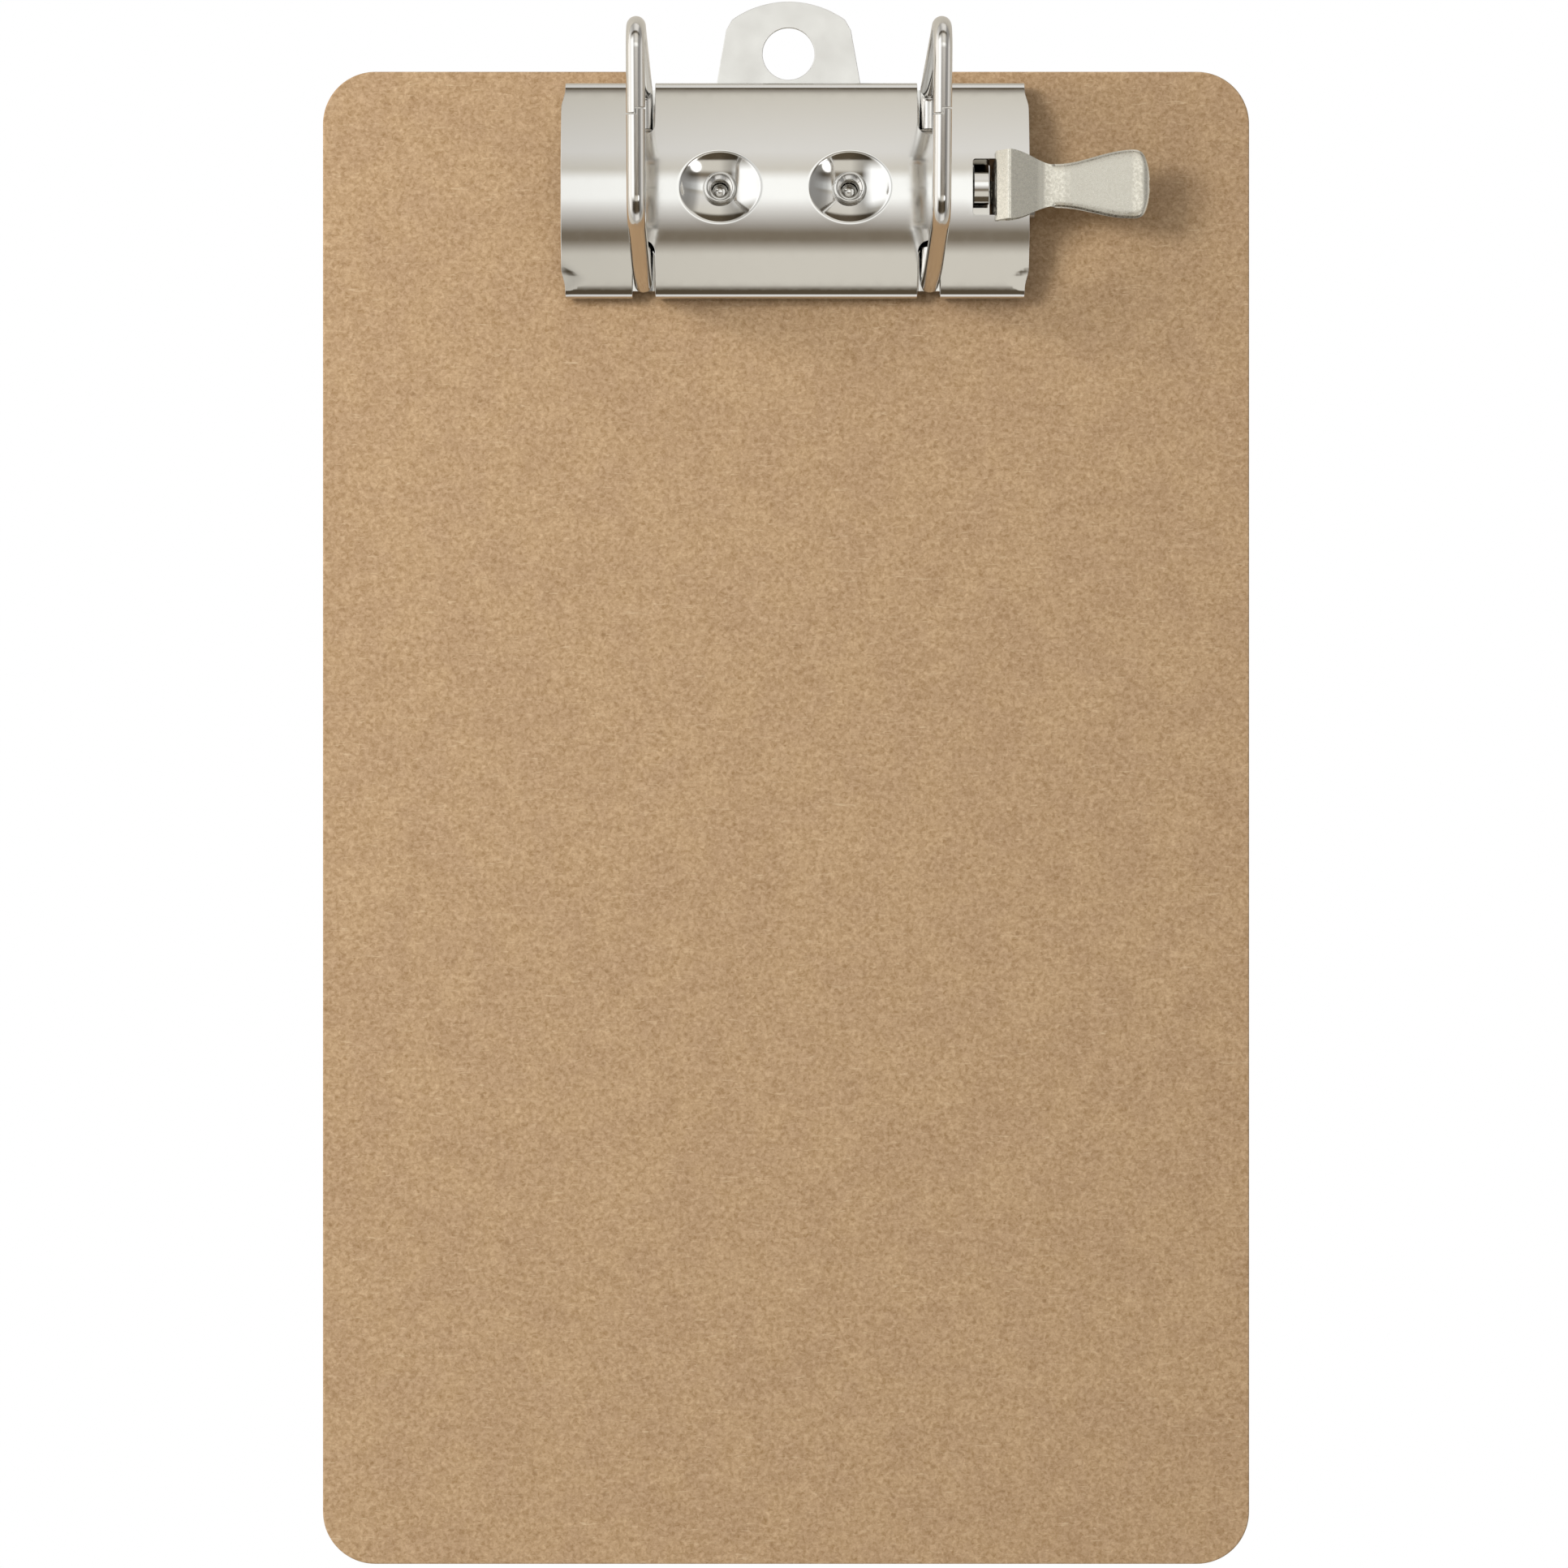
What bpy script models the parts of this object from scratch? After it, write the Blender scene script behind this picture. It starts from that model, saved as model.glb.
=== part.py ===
"""Arch clipboard: a hardboard panel with a riveted cover plate, two wire arches that split in the
middle, the hinged rails that carry them, a paddle lever that opens them, and a hanging tab.

Frame: origin in the middle of the board's back face, +X to the right, +Y towards the arches and the
hanging tab, +Z out of the writing face. It is modelled closed, which is its rest position.
"""
import math

import bmesh
import bpy
from mathutils import Matrix, Vector

MM = 0.001
FIT_GAP = 0.3 * MM

# Board
BOARD_WIDTH = 228.6 * MM
BOARD_LENGTH = 368.3 * MM
BOARD_THICKNESS = 3.2 * MM
BOARD_CORNER_RADIUS = 12.9 * MM
NOTCH_HALF_WIDTH = 37.5 * MM
NOTCH_DEPTH = 5.2 * MM
NOTCH_CORNER_RADIUS = 2.0 * MM

# Cover plate, a sheet bent about lines along X
COVER_MIDDLE_Y = 154.05 * MM
COVER_LEFT_X = -55.1 * MM
COVER_RIGHT_X = 59.35 * MM
COVER_HALF_WIDTH = 26.4 * MM
COVER_SHEET = 0.9 * MM
COVER_TOP_Z = 12.6 * MM
COVER_RIM_BOTTOM_Z = 4.5 * MM
CROWN_RADIUS = 76.1 * MM
CURL_CENTRE_INSET = 2.0 * MM
CURL_CENTRE_Z = 6.5 * MM
CURL_HOOD_RADIUS = 2.6 * MM
CURL_HOOD_ANGLE = math.radians(52)
CURL_BEND_RADIUS = 0.6 * MM
CURL_TAIL = 1.2 * MM
SLOT_HALF_WIDTH = 2.8 * MM
SLOT_INNER_END = 12.9 * MM
WINDOW_LEFT_X = 45.5 * MM
WINDOW_RIGHT_X = 54.7 * MM
WINDOW_HALF_WIDTH = 6.8 * MM
DIMPLE_DEPTH = 2.5 * MM
DIMPLE_SPHERE_RADIUS = 21.6 * MM

# Hanging tab
HANGER_MIDDLE_X = 0.6 * MM
HANGER_SHEET = 0.7 * MM
HANGER_TOP_Y = 201.15 * MM
HANGER_SHOULDER_Y = 194.1 * MM
HANGER_SHOULDER_HALF_WIDTH = 15.4 * MM
HANGER_SHOULDER_CUT = 1.5 * MM
HANGER_BASE_HALF_WIDTH = 17.8 * MM
HANGER_END_HALF_WIDTH = 22.5 * MM
HANGER_END_Y = 146.75 * MM
HANGER_NECK_START_Y = 161.25 * MM
HANGER_NECK_END_Y = 170.25 * MM
HANGER_TOP_RADIUS = 24.0 * MM
HANG_HOLE_Y = 188.3 * MM
HANG_HOLE_RADIUS = 6.4 * MM

# Rivets, with their spacers and washers
RIVET_MIDDLE_X = -0.4 * MM
RIVET_HALF_PITCH = 15.85 * MM
RIVET_SHANK_RADIUS = 2.6 * MM
RIVET_BORE_RADIUS = 1.9 * MM
RIVET_RING_RADIUS = 4.3 * MM
RIVET_RING_HEIGHT = 0.9 * MM
RIVET_RING_LIFT = 0.8 * MM
RIVET_RING_ROUNDING = (0.6 * MM, 0.4 * MM)
RIVET_RING_CREST_INSET = 0.9 * MM
RIVET_CLENCH_RADIUS = 3.9 * MM
RIVET_END_Z = 0.15 * MM
RIVET_HOLE_RADIUS = RIVET_SHANK_RADIUS + FIT_GAP
SPACER_RADIUS = 4.4 * MM
SPACER_TOP_GAP = 0.1 * MM
WASHER_RADIUS = 5.0 * MM
WASHER_BOTTOM_Z = 0.75 * MM
WASHER_TOP_Z = 1.3 * MM
COUNTERBORE_RADIUS = 5.4 * MM
COUNTERBORE_DEPTH = 1.6 * MM

# Rails, hinged in the cover plate's curls
RAIL_LEFT_X = -53.6 * MM
RAIL_RIGHT_X = 50.0 * MM
RAIL_SHEET = 1.0 * MM
RAIL_INNER_GAP = 0.2 * MM
RAIL_OUTER_LAND = 0.3 * MM
RAIL_NOTCH_RADIUS = 6.2 * MM
RAIL_CLOSED_ANGLE = math.radians(3.05)

# Arches, in planes of constant X
ARCH_HALF_PITCH = 34.925 * MM
ARCH_WIRE_RADIUS = 2.2 * MM
ARCH_FOOT_INNER = 14.5 * MM
ARCH_LEG_BASE = 23.8 * MM
ARCH_FRONT_KNEE = (-22.6 * MM, 29.2 * MM)
ARCH_FRONT_CORNER = (-15.6 * MM, 61.5 * MM)
ARCH_REAR_CORNER = (28.2 * MM, 67.4 * MM)
ARCH_FOOT_BEND = 3.2 * MM
ARCH_KNEE_BEND = 90.0 * MM
ARCH_FRONT_BEND = 7.0 * MM
ARCH_REAR_BEND = 5.5 * MM
SEAM_LEFT_Y = 7.0 * MM
SEAM_RIGHT_Y = 8.25 * MM
SEAM_BLOCK_REACH = 10.0 * MM

# Lever, its bracket and pin
PIN_X = 53.2 * MM
PIN_Z = 6.6 * MM
PIN_RADIUS = 1.0 * MM
PIN_HEAD_RADIUS = 1.7 * MM
PIN_HEAD = 0.6 * MM
PIN_HOLE_RADIUS = PIN_RADIUS + FIT_GAP
LEVER_SHEET = 0.9 * MM
LEVER_FLANGE_X = 51.35 * MM
LEVER_FINGER_X = 40.8 * MM
LEVER_FINGER_HALF_WIDTH = 2.8 * MM
LEVER_FLANGE_HALF_WIDTH = 5.8 * MM
LEVER_ROOT_HALF_WIDTH = 8.4 * MM
LEVER_WAIST_HALF_WIDTH = 5.0 * MM
LEVER_WAIST_X = 65.65 * MM
LEVER_PADDLE_HALF_WIDTH = 8.1 * MM
LEVER_PADDLE_X = 84.15 * MM
LEVER_TIP_X = 87.85 * MM
LEVER_FOOT_BEND = 1.5 * MM
LEVER_FACET_Z = 13.7 * MM
LEVER_FACET_BEND = 1.2 * MM
LEVER_CREST = (54.0 * MM, 16.5 * MM)
LEVER_CREST_BEND = 0.8 * MM
LEVER_SHOULDER_Z = 12.7 * MM
LEVER_SADDLE_X = 65.1 * MM
LEVER_SADDLE_Z = 13.1 * MM
LEVER_SADDLE_BEND = 18.7 * MM
LEVER_PADDLE_Z = 15.9 * MM
LEVER_TIP_DROP = 1.2 * MM
LEVER_TIP_SQUARENESS = 2.6
LEVER_TIP_LAST_ANGLE = math.radians(80)
LEVER_STATION_STEP = 1.6 * MM
LEVER_EDGE_DROP = 0.9 * MM
KNUCKLE_RADIUS = 2.2 * MM
KNUCKLE_INNER_Y = 3.6 * MM
KNUCKLE_OUTER_Y = 5.6 * MM
BRACKET_SHEET = 1.0 * MM
BRACKET_HALF_WIDTH = 7.1 * MM
BRACKET_EAR_LEFT_X = 51.0 * MM
BRACKET_EAR_RIGHT_X = 57.2 * MM
BRACKET_WEB_LEFT_X = 54.5 * MM
BRACKET_RIGHT_X = 60.7 * MM
BRACKET_BEND = 1.2 * MM
BRACKET_LIP_SET_BACK = 0.02 * MM

# Levels worked out from the dimensions above
HANGER_BOTTOM_Z = BOARD_THICKNESS + FIT_GAP
HANGER_TOP_Z = HANGER_BOTTOM_Z + HANGER_SHEET
CURL_CENTRE_Y = COVER_HALF_WIDTH - CURL_CENTRE_INSET
CURL_OUTER_Y = COVER_HALF_WIDTH - COVER_SHEET / 2
DISH_Z = COVER_TOP_Z - DIMPLE_DEPTH
DISH_UNDERSIDE_Z = DISH_Z - COVER_SHEET
CROWN_CENTRE_Z = COVER_TOP_Z - COVER_SHEET / 2 - CROWN_RADIUS


def crown_half_angle():
    """The crown turns over into the curl where the curl's two bends then end level with the rim."""
    hood_across = math.sin(CURL_HOOD_ANGLE) * (CURL_HOOD_RADIUS - CURL_BEND_RADIUS) + CURL_BEND_RADIUS
    return math.asin((CURL_OUTER_Y - hood_across) / (CROWN_RADIUS - CURL_HOOD_RADIUS))


CROWN_HALF_ANGLE = crown_half_angle()


def arc_points(centre, radius, start, end, steps):
    """Points on an arc, angles in radians, both ends included."""
    points = []
    for step in range(steps + 1):
        angle = start + (end - start) * step / steps
        points.append((centre[0] + radius * math.cos(angle), centre[1] + radius * math.sin(angle)))
    return points


def rounded_path(corners, radii, step_angle=math.radians(12)):
    """An open path through corners, each inner corner replaced by a tangent arc of its own radius."""
    points = [Vector(corners[0])]
    for index in range(1, len(corners) - 1):
        corner = Vector(corners[index])
        before = (Vector(corners[index - 1]) - corner).normalized()
        after = (Vector(corners[index + 1]) - corner).normalized()
        half_opening = math.acos(before.dot(after)) / 2
        reach = radii[index - 1] / math.tan(half_opening)
        centre = corner + (before + after).normalized() * (radii[index - 1] / math.sin(half_opening))
        first = corner + before * reach - centre
        turn = first.angle_signed(corner + after * reach - centre)
        steps = max(2, math.ceil(abs(turn) / step_angle))
        for step in range(steps + 1):
            points.append(centre + Matrix.Rotation(-turn * step / steps, 2) @ first)
    points.append(Vector(corners[-1]))
    return points


def new_collection(name):
    collection = bpy.data.collections.new(name)
    bpy.context.scene.collection.children.link(collection)
    return collection


def material(name, colour, roughness, metallic):
    made = bpy.data.materials.new(name)
    made.use_nodes = True
    shader = made.node_tree.nodes["Principled BSDF"]
    shader.inputs["Base Color"].default_value = (*colour, 1.0)
    shader.inputs["Roughness"].default_value = roughness
    shader.inputs["Metallic"].default_value = metallic
    made.diffuse_color = (*colour, 1.0)
    return made


def add_mesh(name, mesh, collection=None):
    piece = bpy.data.objects.new(name, mesh)
    (collection or clipboard).objects.link(piece)
    return piece


def finish(piece, look):
    """Gives a piece its own material and smooth shading with crisp edges."""
    colour, roughness, metallic = look
    piece.data.materials.clear()
    piece.data.materials.append(material(piece.name + "_finish", colour, roughness, metallic))
    piece.data.shade_smooth()
    piece.data.set_sharp_from_angle(angle=math.radians(35))
    return piece


def curve_to_mesh(curve_object):
    """Replaces a curve object by a welded mesh object of the same name and place."""
    name = curve_object.name
    curve = curve_object.data
    bpy.context.view_layer.update()
    evaluated = curve_object.evaluated_get(bpy.context.evaluated_depsgraph_get())
    mesh = bpy.data.meshes.new_from_object(evaluated)
    place = curve_object.matrix_world.copy()
    bpy.data.objects.remove(curve_object)
    bpy.data.curves.remove(curve)
    welder = bmesh.new()
    welder.from_mesh(mesh)
    bmesh.ops.remove_doubles(welder, verts=welder.verts, dist=0.01 * MM)
    welder.to_mesh(mesh)
    welder.free()
    piece = add_mesh(name, mesh)
    piece.matrix_world = place
    return piece


def flat_sheet(name, outlines, thickness, bottom_z):
    """A flat piece cut to outlines: the first is its edge, the others are holes."""
    curve = bpy.data.curves.new(name, "CURVE")
    curve.dimensions = "2D"
    curve.fill_mode = "BOTH"
    curve.extrude = thickness / 2
    for outline in outlines:
        spline = curve.splines.new("POLY")
        spline.points.add(len(outline) - 1)
        for point, place in zip(spline.points, outline):
            point.co = (place[0], place[1], 0.0, 1.0)
        spline.use_cyclic_u = True
    piece = add_mesh(name, curve)
    piece.location.z = bottom_z + thickness / 2
    return curve_to_mesh(piece)


def wire(name, points, radius):
    """A round wire through points, with closed ends."""
    curve = bpy.data.curves.new(name, "CURVE")
    curve.dimensions = "3D"
    curve.bevel_depth = radius
    curve.bevel_resolution = 4
    curve.use_fill_caps = True
    spline = curve.splines.new("POLY")
    spline.points.add(len(points) - 1)
    for point, place in zip(spline.points, points):
        point.co = (*place, 1.0)
    return curve_to_mesh(add_mesh(name, curve))


def bent_sheet(name, rows, columns, place, thickness):
    """A grid laid over a surface by place(row, fraction across), given thickness on both sides."""
    mesh = bpy.data.meshes.new(name)
    grid = bmesh.new()
    bmesh.ops.create_grid(grid, x_segments=rows, y_segments=columns, size=0.5)
    for vertex in grid.verts:
        row = round((vertex.co.x + 0.5) * rows)
        vertex.co = place(row, vertex.co.y + 0.5)
    bmesh.ops.recalc_face_normals(grid, faces=grid.faces)
    grid.to_mesh(mesh)
    grid.free()
    piece = add_mesh(name, mesh)
    shell = piece.modifiers.new("sheet thickness", "SOLIDIFY")
    shell.thickness = thickness
    shell.offset = 0.0
    shell.use_even_offset = True
    return piece


def turned(name, profile, steps=32):
    """A piece turned about Z from (radius, height) points, outer side top to bottom. A profile that
    starts off the axis is closed into a ring."""
    mesh = bpy.data.meshes.new(name)
    outline = bmesh.new()
    corners = [outline.verts.new((radius, 0.0, height)) for radius, height in profile]
    ends = corners[1:] + corners[:1] if profile[0][0] > 0.0 else corners[1:]
    for first, second in zip(corners, ends):
        outline.edges.new((first, second))
    outline.to_mesh(mesh)
    outline.free()
    piece = add_mesh(name, mesh)
    screw = piece.modifiers.new("turning", "SCREW")
    screw.steps = steps
    screw.render_steps = steps
    screw.use_merge_vertices = True
    screw.merge_threshold = 0.01 * MM
    return piece


def as_cutter(tool):
    tool.hide_render = True
    tool.display_type = "WIRE"
    return tool


def box_tool(name, low, high):
    mesh = bpy.data.meshes.new(name)
    block = bmesh.new()
    bmesh.ops.create_cube(block, size=1.0)
    for vertex in block.verts:
        for axis in range(3):
            vertex.co[axis] = low[axis] + (high[axis] - low[axis]) * (vertex.co[axis] + 0.5)
    block.to_mesh(mesh)
    block.free()
    return as_cutter(add_mesh(name, mesh, cutters))


def rod_tool(name, centre, radius, length, axis="Z", segments=32):
    mesh = bpy.data.meshes.new(name)
    rod = bmesh.new()
    bmesh.ops.create_cone(
        rod, cap_ends=True, segments=segments, radius1=radius, radius2=radius, depth=length
    )
    if axis != "Z":
        tip = Matrix.Rotation(math.pi / 2, 3, "X" if axis == "Y" else "Y")
        bmesh.ops.rotate(rod, verts=rod.verts, matrix=tip)
    bmesh.ops.translate(rod, verts=rod.verts, vec=centre)
    rod.to_mesh(mesh)
    rod.free()
    return as_cutter(add_mesh(name, mesh, cutters))


def prism_tool(name, outline, place, height):
    """An upright prism from an outline, standing on the board's back at place (x, y)."""
    tool = flat_sheet(name, [outline], height, 0.0)
    tool.location.x, tool.location.y = place
    clipboard.objects.unlink(tool)
    cutters.objects.link(tool)
    return as_cutter(tool)


def ball_tool(name, centre, radius):
    mesh = bpy.data.meshes.new(name)
    ball = bmesh.new()
    bmesh.ops.create_uvsphere(ball, u_segments=40, v_segments=32, radius=radius)
    bmesh.ops.translate(ball, verts=ball.verts, vec=centre)
    ball.to_mesh(mesh)
    ball.free()
    return as_cutter(add_mesh(name, mesh, cutters))


def combine(piece, tool, operation):
    step = piece.modifiers.new(operation.lower() + " " + tool.name, "BOOLEAN")
    step.operation = operation
    step.solver = "EXACT"
    step.object = tool


def hinge_frame(name, y, z):
    """An empty on a hinge line along X."""
    frame = bpy.data.objects.new(name, None)
    frame.location = (0.0, y, z)
    clipboard.objects.link(frame)
    return frame


def hang_on(piece, frame):
    """Parents a piece to an empty and moves its origin there, leaving its shape where it is."""
    shift = frame.location - piece.location
    piece.data.transform(Matrix.Translation(-shift))
    piece.parent = frame
    piece.location = (0.0, 0.0, 0.0)


def mirrored(points):
    """The same points on the other side of X = 0, in the order that carries an outline on."""
    return [(-x, y) for x, y in reversed(points)]


def build_board():
    corner_x = BOARD_WIDTH / 2 - BOARD_CORNER_RADIUS
    corner_y = BOARD_LENGTH / 2 - BOARD_CORNER_RADIUS
    notch_x = NOTCH_HALF_WIDTH - NOTCH_CORNER_RADIUS
    notch_y = BOARD_LENGTH / 2 - NOTCH_DEPTH + NOTCH_CORNER_RADIUS
    quarter = math.pi / 2
    right = arc_points((corner_x, -corner_y), BOARD_CORNER_RADIUS, -quarter, 0.0, 10)
    right += arc_points((corner_x, corner_y), BOARD_CORNER_RADIUS, 0.0, quarter, 10)
    right.append((NOTCH_HALF_WIDTH, BOARD_LENGTH / 2))
    right += arc_points((notch_x, notch_y), NOTCH_CORNER_RADIUS, 0.0, -quarter, 5)
    board = flat_sheet("board", [right + mirrored(right)], BOARD_THICKNESS, 0.0)
    for hand, x in rivet_places():
        back = (x, COVER_MIDDLE_Y, 0.0)
        hole = rod_tool(hand + "_board_hole", back, RIVET_HOLE_RADIUS, 4 * BOARD_THICKNESS)
        recess = rod_tool(hand + "_recess", back, COUNTERBORE_RADIUS, 2 * COUNTERBORE_DEPTH)
        combine(board, hole, "DIFFERENCE")
        combine(board, recess, "DIFFERENCE")
    return finish(board, HARDBOARD)


def rivet_places():
    return (("left", RIVET_MIDDLE_X - RIVET_HALF_PITCH), ("right", RIVET_MIDDLE_X + RIVET_HALF_PITCH))


def arch_places():
    return (("left", -ARCH_HALF_PITCH), ("right", ARCH_HALF_PITCH))


def cover_profile():
    """The cover plate's middle line from the front curl's tail over the crown to the rear curl's tail."""
    up = math.pi / 2
    lean = CROWN_HALF_ANGLE
    crown = arc_points((0.0, CROWN_CENTRE_Z), CROWN_RADIUS, up + lean, up - lean, 24)
    toward_hood = CROWN_RADIUS - CURL_HOOD_RADIUS
    hood_centre = (toward_hood * math.sin(lean), CROWN_CENTRE_Z + toward_hood * math.cos(lean))
    rear = arc_points(hood_centre, CURL_HOOD_RADIUS, up - lean, up - CURL_HOOD_ANGLE, 4)
    bend_y = CURL_OUTER_Y - CURL_BEND_RADIUS
    bend_z = rear[-1][1] - CURL_BEND_RADIUS * math.cos(CURL_HOOD_ANGLE)
    rear += arc_points((bend_y, bend_z), CURL_BEND_RADIUS, up - CURL_HOOD_ANGLE, 0.0, 2)[1:]
    lower_z = COVER_RIM_BOTTOM_Z + COVER_SHEET / 2 + CURL_BEND_RADIUS
    rear += arc_points((bend_y, lower_z), CURL_BEND_RADIUS, 0.0, -up, 4)
    rear.append((bend_y - CURL_TAIL, lower_z - CURL_BEND_RADIUS))
    front = [(-y, z) for y, z in reversed(rear)]
    return front + crown[1:-1] + rear


def dimple(cover, hand, x):
    """Presses a round dish into the crown, with the rivet's hole at its bottom."""
    centre = (x, COVER_MIDDLE_Y, DISH_Z + DIMPLE_SPHERE_RADIUS)
    crown_axis = (x, COVER_MIDDLE_Y, CROWN_CENTRE_Z)
    bowl = ball_tool(hand + "_dish_bowl", centre, DIMPLE_SPHERE_RADIUS + COVER_SHEET)
    under_crown = rod_tool(
        hand + "_under_crown", crown_axis, CROWN_RADIUS, 4 * DIMPLE_SPHERE_RADIUS, axis="X", segments=128
    )
    combine(bowl, under_crown, "INTERSECT")
    combine(cover, bowl, "UNION")
    combine(cover, ball_tool(hand + "_dish", centre, DIMPLE_SPHERE_RADIUS), "DIFFERENCE")
    bottom = (x, COVER_MIDDLE_Y, DISH_Z)
    combine(cover, rod_tool(hand + "_dish_hole", bottom, RIVET_HOLE_RADIUS, COVER_TOP_Z), "DIFFERENCE")


def slot_outline(side):
    """A slot with a round inner end, open past the rim on the given side of the cover's middle."""
    centre = (0.0, side * (SLOT_INNER_END + SLOT_HALF_WIDTH))
    start = 0.0 if side < 0 else math.pi
    inner_end = arc_points(centre, SLOT_HALF_WIDTH, start, start + math.pi, 12)
    past_rim = side * (COVER_HALF_WIDTH + SLOT_HALF_WIDTH)
    return inner_end + [(inner_end[-1][0], past_rim), (inner_end[0][0], past_rim)]


def build_cover_plate():
    profile = cover_profile()

    def place(row, across):
        y, z = profile[row]
        return (COVER_LEFT_X + (COVER_RIGHT_X - COVER_LEFT_X) * across, COVER_MIDDLE_Y + y, z)

    cover = bent_sheet("cover_plate", len(profile) - 1, 1, place, COVER_SHEET)
    for hand, x in rivet_places():
        dimple(cover, hand, x)
    for hand, x in arch_places():
        for end, side in (("front", -1), ("rear", 1)):
            name = end + "_" + hand + "_slot"
            slot = prism_tool(name, slot_outline(side), (x, COVER_MIDDLE_Y), 2 * COVER_TOP_Z)
            combine(cover, slot, "DIFFERENCE")
    window = box_tool(
        "lever_window",
        (WINDOW_LEFT_X, COVER_MIDDLE_Y - WINDOW_HALF_WIDTH, DISH_Z),
        (WINDOW_RIGHT_X, COVER_MIDDLE_Y + WINDOW_HALF_WIDTH, 2 * COVER_TOP_Z),
    )
    combine(cover, window, "DIFFERENCE")
    return finish(cover, NICKEL)


def build_hanger_plate():
    """A flat tab: broad under the cover for both rivets, narrower behind it, with an arched end."""
    shoulder_x = HANGER_SHOULDER_HALF_WIDTH - HANGER_SHOULDER_CUT
    side = [
        (HANGER_END_HALF_WIDTH, HANGER_END_Y),
        (HANGER_END_HALF_WIDTH, HANGER_NECK_START_Y),
        (HANGER_BASE_HALF_WIDTH, HANGER_NECK_END_Y),
        (HANGER_BASE_HALF_WIDTH, COVER_MIDDLE_Y + COVER_HALF_WIDTH),
        (HANGER_SHOULDER_HALF_WIDTH, HANGER_SHOULDER_Y),
    ]
    half_angle = math.asin(shoulder_x / HANGER_TOP_RADIUS)
    up = math.pi / 2
    centre = (0.0, HANGER_TOP_Y - HANGER_TOP_RADIUS)
    top = arc_points(centre, HANGER_TOP_RADIUS, up - half_angle, up + half_angle, 16)
    holes = [arc_points((0.0, HANG_HOLE_Y), HANG_HOLE_RADIUS, 0.0, 2 * math.pi, 32)[:-1]]
    for _, x in rivet_places():
        centre = (x - HANGER_MIDDLE_X, COVER_MIDDLE_Y)
        holes.append(arc_points(centre, RIVET_HOLE_RADIUS, 0.0, 2 * math.pi, 24)[:-1])
    outline = side + top + mirrored(side)
    hanger = flat_sheet("hanger_plate", [outline] + holes, HANGER_SHEET, HANGER_BOTTOM_Z)
    hanger.location.x = HANGER_MIDDLE_X
    return finish(hanger, NICKEL)


def build_rivet(hand, x):
    """A tubular rivet, its flared ring in the dimple and its clenched end in the board's back, with
    the collar that spaces the cover from the hanging tab and the washer under the clenched end."""
    ring_bottom = DISH_Z + RIVET_RING_LIFT
    ring_top = ring_bottom + RIVET_RING_HEIGHT
    rivet = turned(hand + "_rivet", [
        (RIVET_RING_RADIUS - RIVET_RING_ROUNDING[0], ring_top),
        (RIVET_RING_RADIUS, ring_top - RIVET_RING_ROUNDING[1]),
        (RIVET_RING_RADIUS, ring_bottom),
        (RIVET_SHANK_RADIUS, ring_bottom - FIT_GAP),
        (RIVET_SHANK_RADIUS, WASHER_BOTTOM_Z - FIT_GAP),
        (RIVET_CLENCH_RADIUS, WASHER_BOTTOM_Z - FIT_GAP),
        (RIVET_CLENCH_RADIUS, RIVET_END_Z),
        (RIVET_BORE_RADIUS, RIVET_END_Z),
        (RIVET_BORE_RADIUS, ring_bottom),
        (RIVET_RING_RADIUS - RIVET_RING_CREST_INSET, ring_top),
    ])
    spacer_top = DISH_UNDERSIDE_Z - SPACER_TOP_GAP
    spacer = turned(hand + "_spacer", ring_profile(SPACER_RADIUS, HANGER_TOP_Z + FIT_GAP, spacer_top))
    washer = turned(hand + "_washer", ring_profile(WASHER_RADIUS, WASHER_BOTTOM_Z, WASHER_TOP_Z))
    for piece, look in ((rivet, NICKEL), (spacer, STEEL), (washer, STEEL)):
        piece.location = (x, COVER_MIDDLE_Y, 0.0)
        finish(piece, look)


def ring_profile(radius, bottom, top):
    return [(radius, top), (radius, bottom), (RIVET_HOLE_RADIUS, bottom), (RIVET_HOLE_RADIUS, top)]


def build_rail(end, side, hinge):
    """A flat strip from the hinge line to the cover's middle, notched round both spacers."""
    reach = (CURL_CENTRE_Y - RAIL_INNER_GAP) / math.cos(RAIL_CLOSED_ANGLE)
    outline = [(RAIL_RIGHT_X, -RAIL_OUTER_LAND), (RAIL_RIGHT_X, reach)]
    for _, x in reversed(rivet_places()):
        outline += arc_points((x, reach), RAIL_NOTCH_RADIUS, 0.0, -math.pi, 14)
    outline += [(RAIL_LEFT_X, reach), (RAIL_LEFT_X, -RAIL_OUTER_LAND)]
    rail = flat_sheet(end + "_rail", [outline], RAIL_SHEET, 0.0)
    rail.data.transform(Matrix.Rotation(-RAIL_CLOSED_ANGLE, 4, "X"))
    if side > 0:
        rail.data.transform(Matrix.Scale(-1.0, 4, (0.0, 1.0, 0.0)))
        rail.data.flip_normals()
    rail.parent = hinge
    rail.location = (0.0, 0.0, 0.0)
    return finish(rail, NICKEL)


def arch_half_path(end, seam_point):
    """One half's middle line in (Y from the cover's middle, Z), from its foot to the seam."""
    lift = (RAIL_SHEET / 2 + FIT_GAP + ARCH_WIRE_RADIUS) / math.cos(RAIL_CLOSED_ANGLE)
    slope = math.tan(RAIL_CLOSED_ANGLE)
    side = -1 if end == "front" else 1
    corners = []
    for reach in (ARCH_FOOT_INNER, ARCH_LEG_BASE):
        corners.append((side * reach, CURL_CENTRE_Z - (CURL_CENTRE_Y - reach) * slope + lift))
    if end == "front":
        corners += [ARCH_FRONT_KNEE, ARCH_FRONT_CORNER, seam_point]
        return rounded_path(corners, [ARCH_FOOT_BEND, ARCH_KNEE_BEND, ARCH_FRONT_BEND])
    corners += [ARCH_REAR_CORNER, seam_point]
    return rounded_path(corners, [ARCH_FOOT_BEND, ARCH_REAR_BEND])


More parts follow.
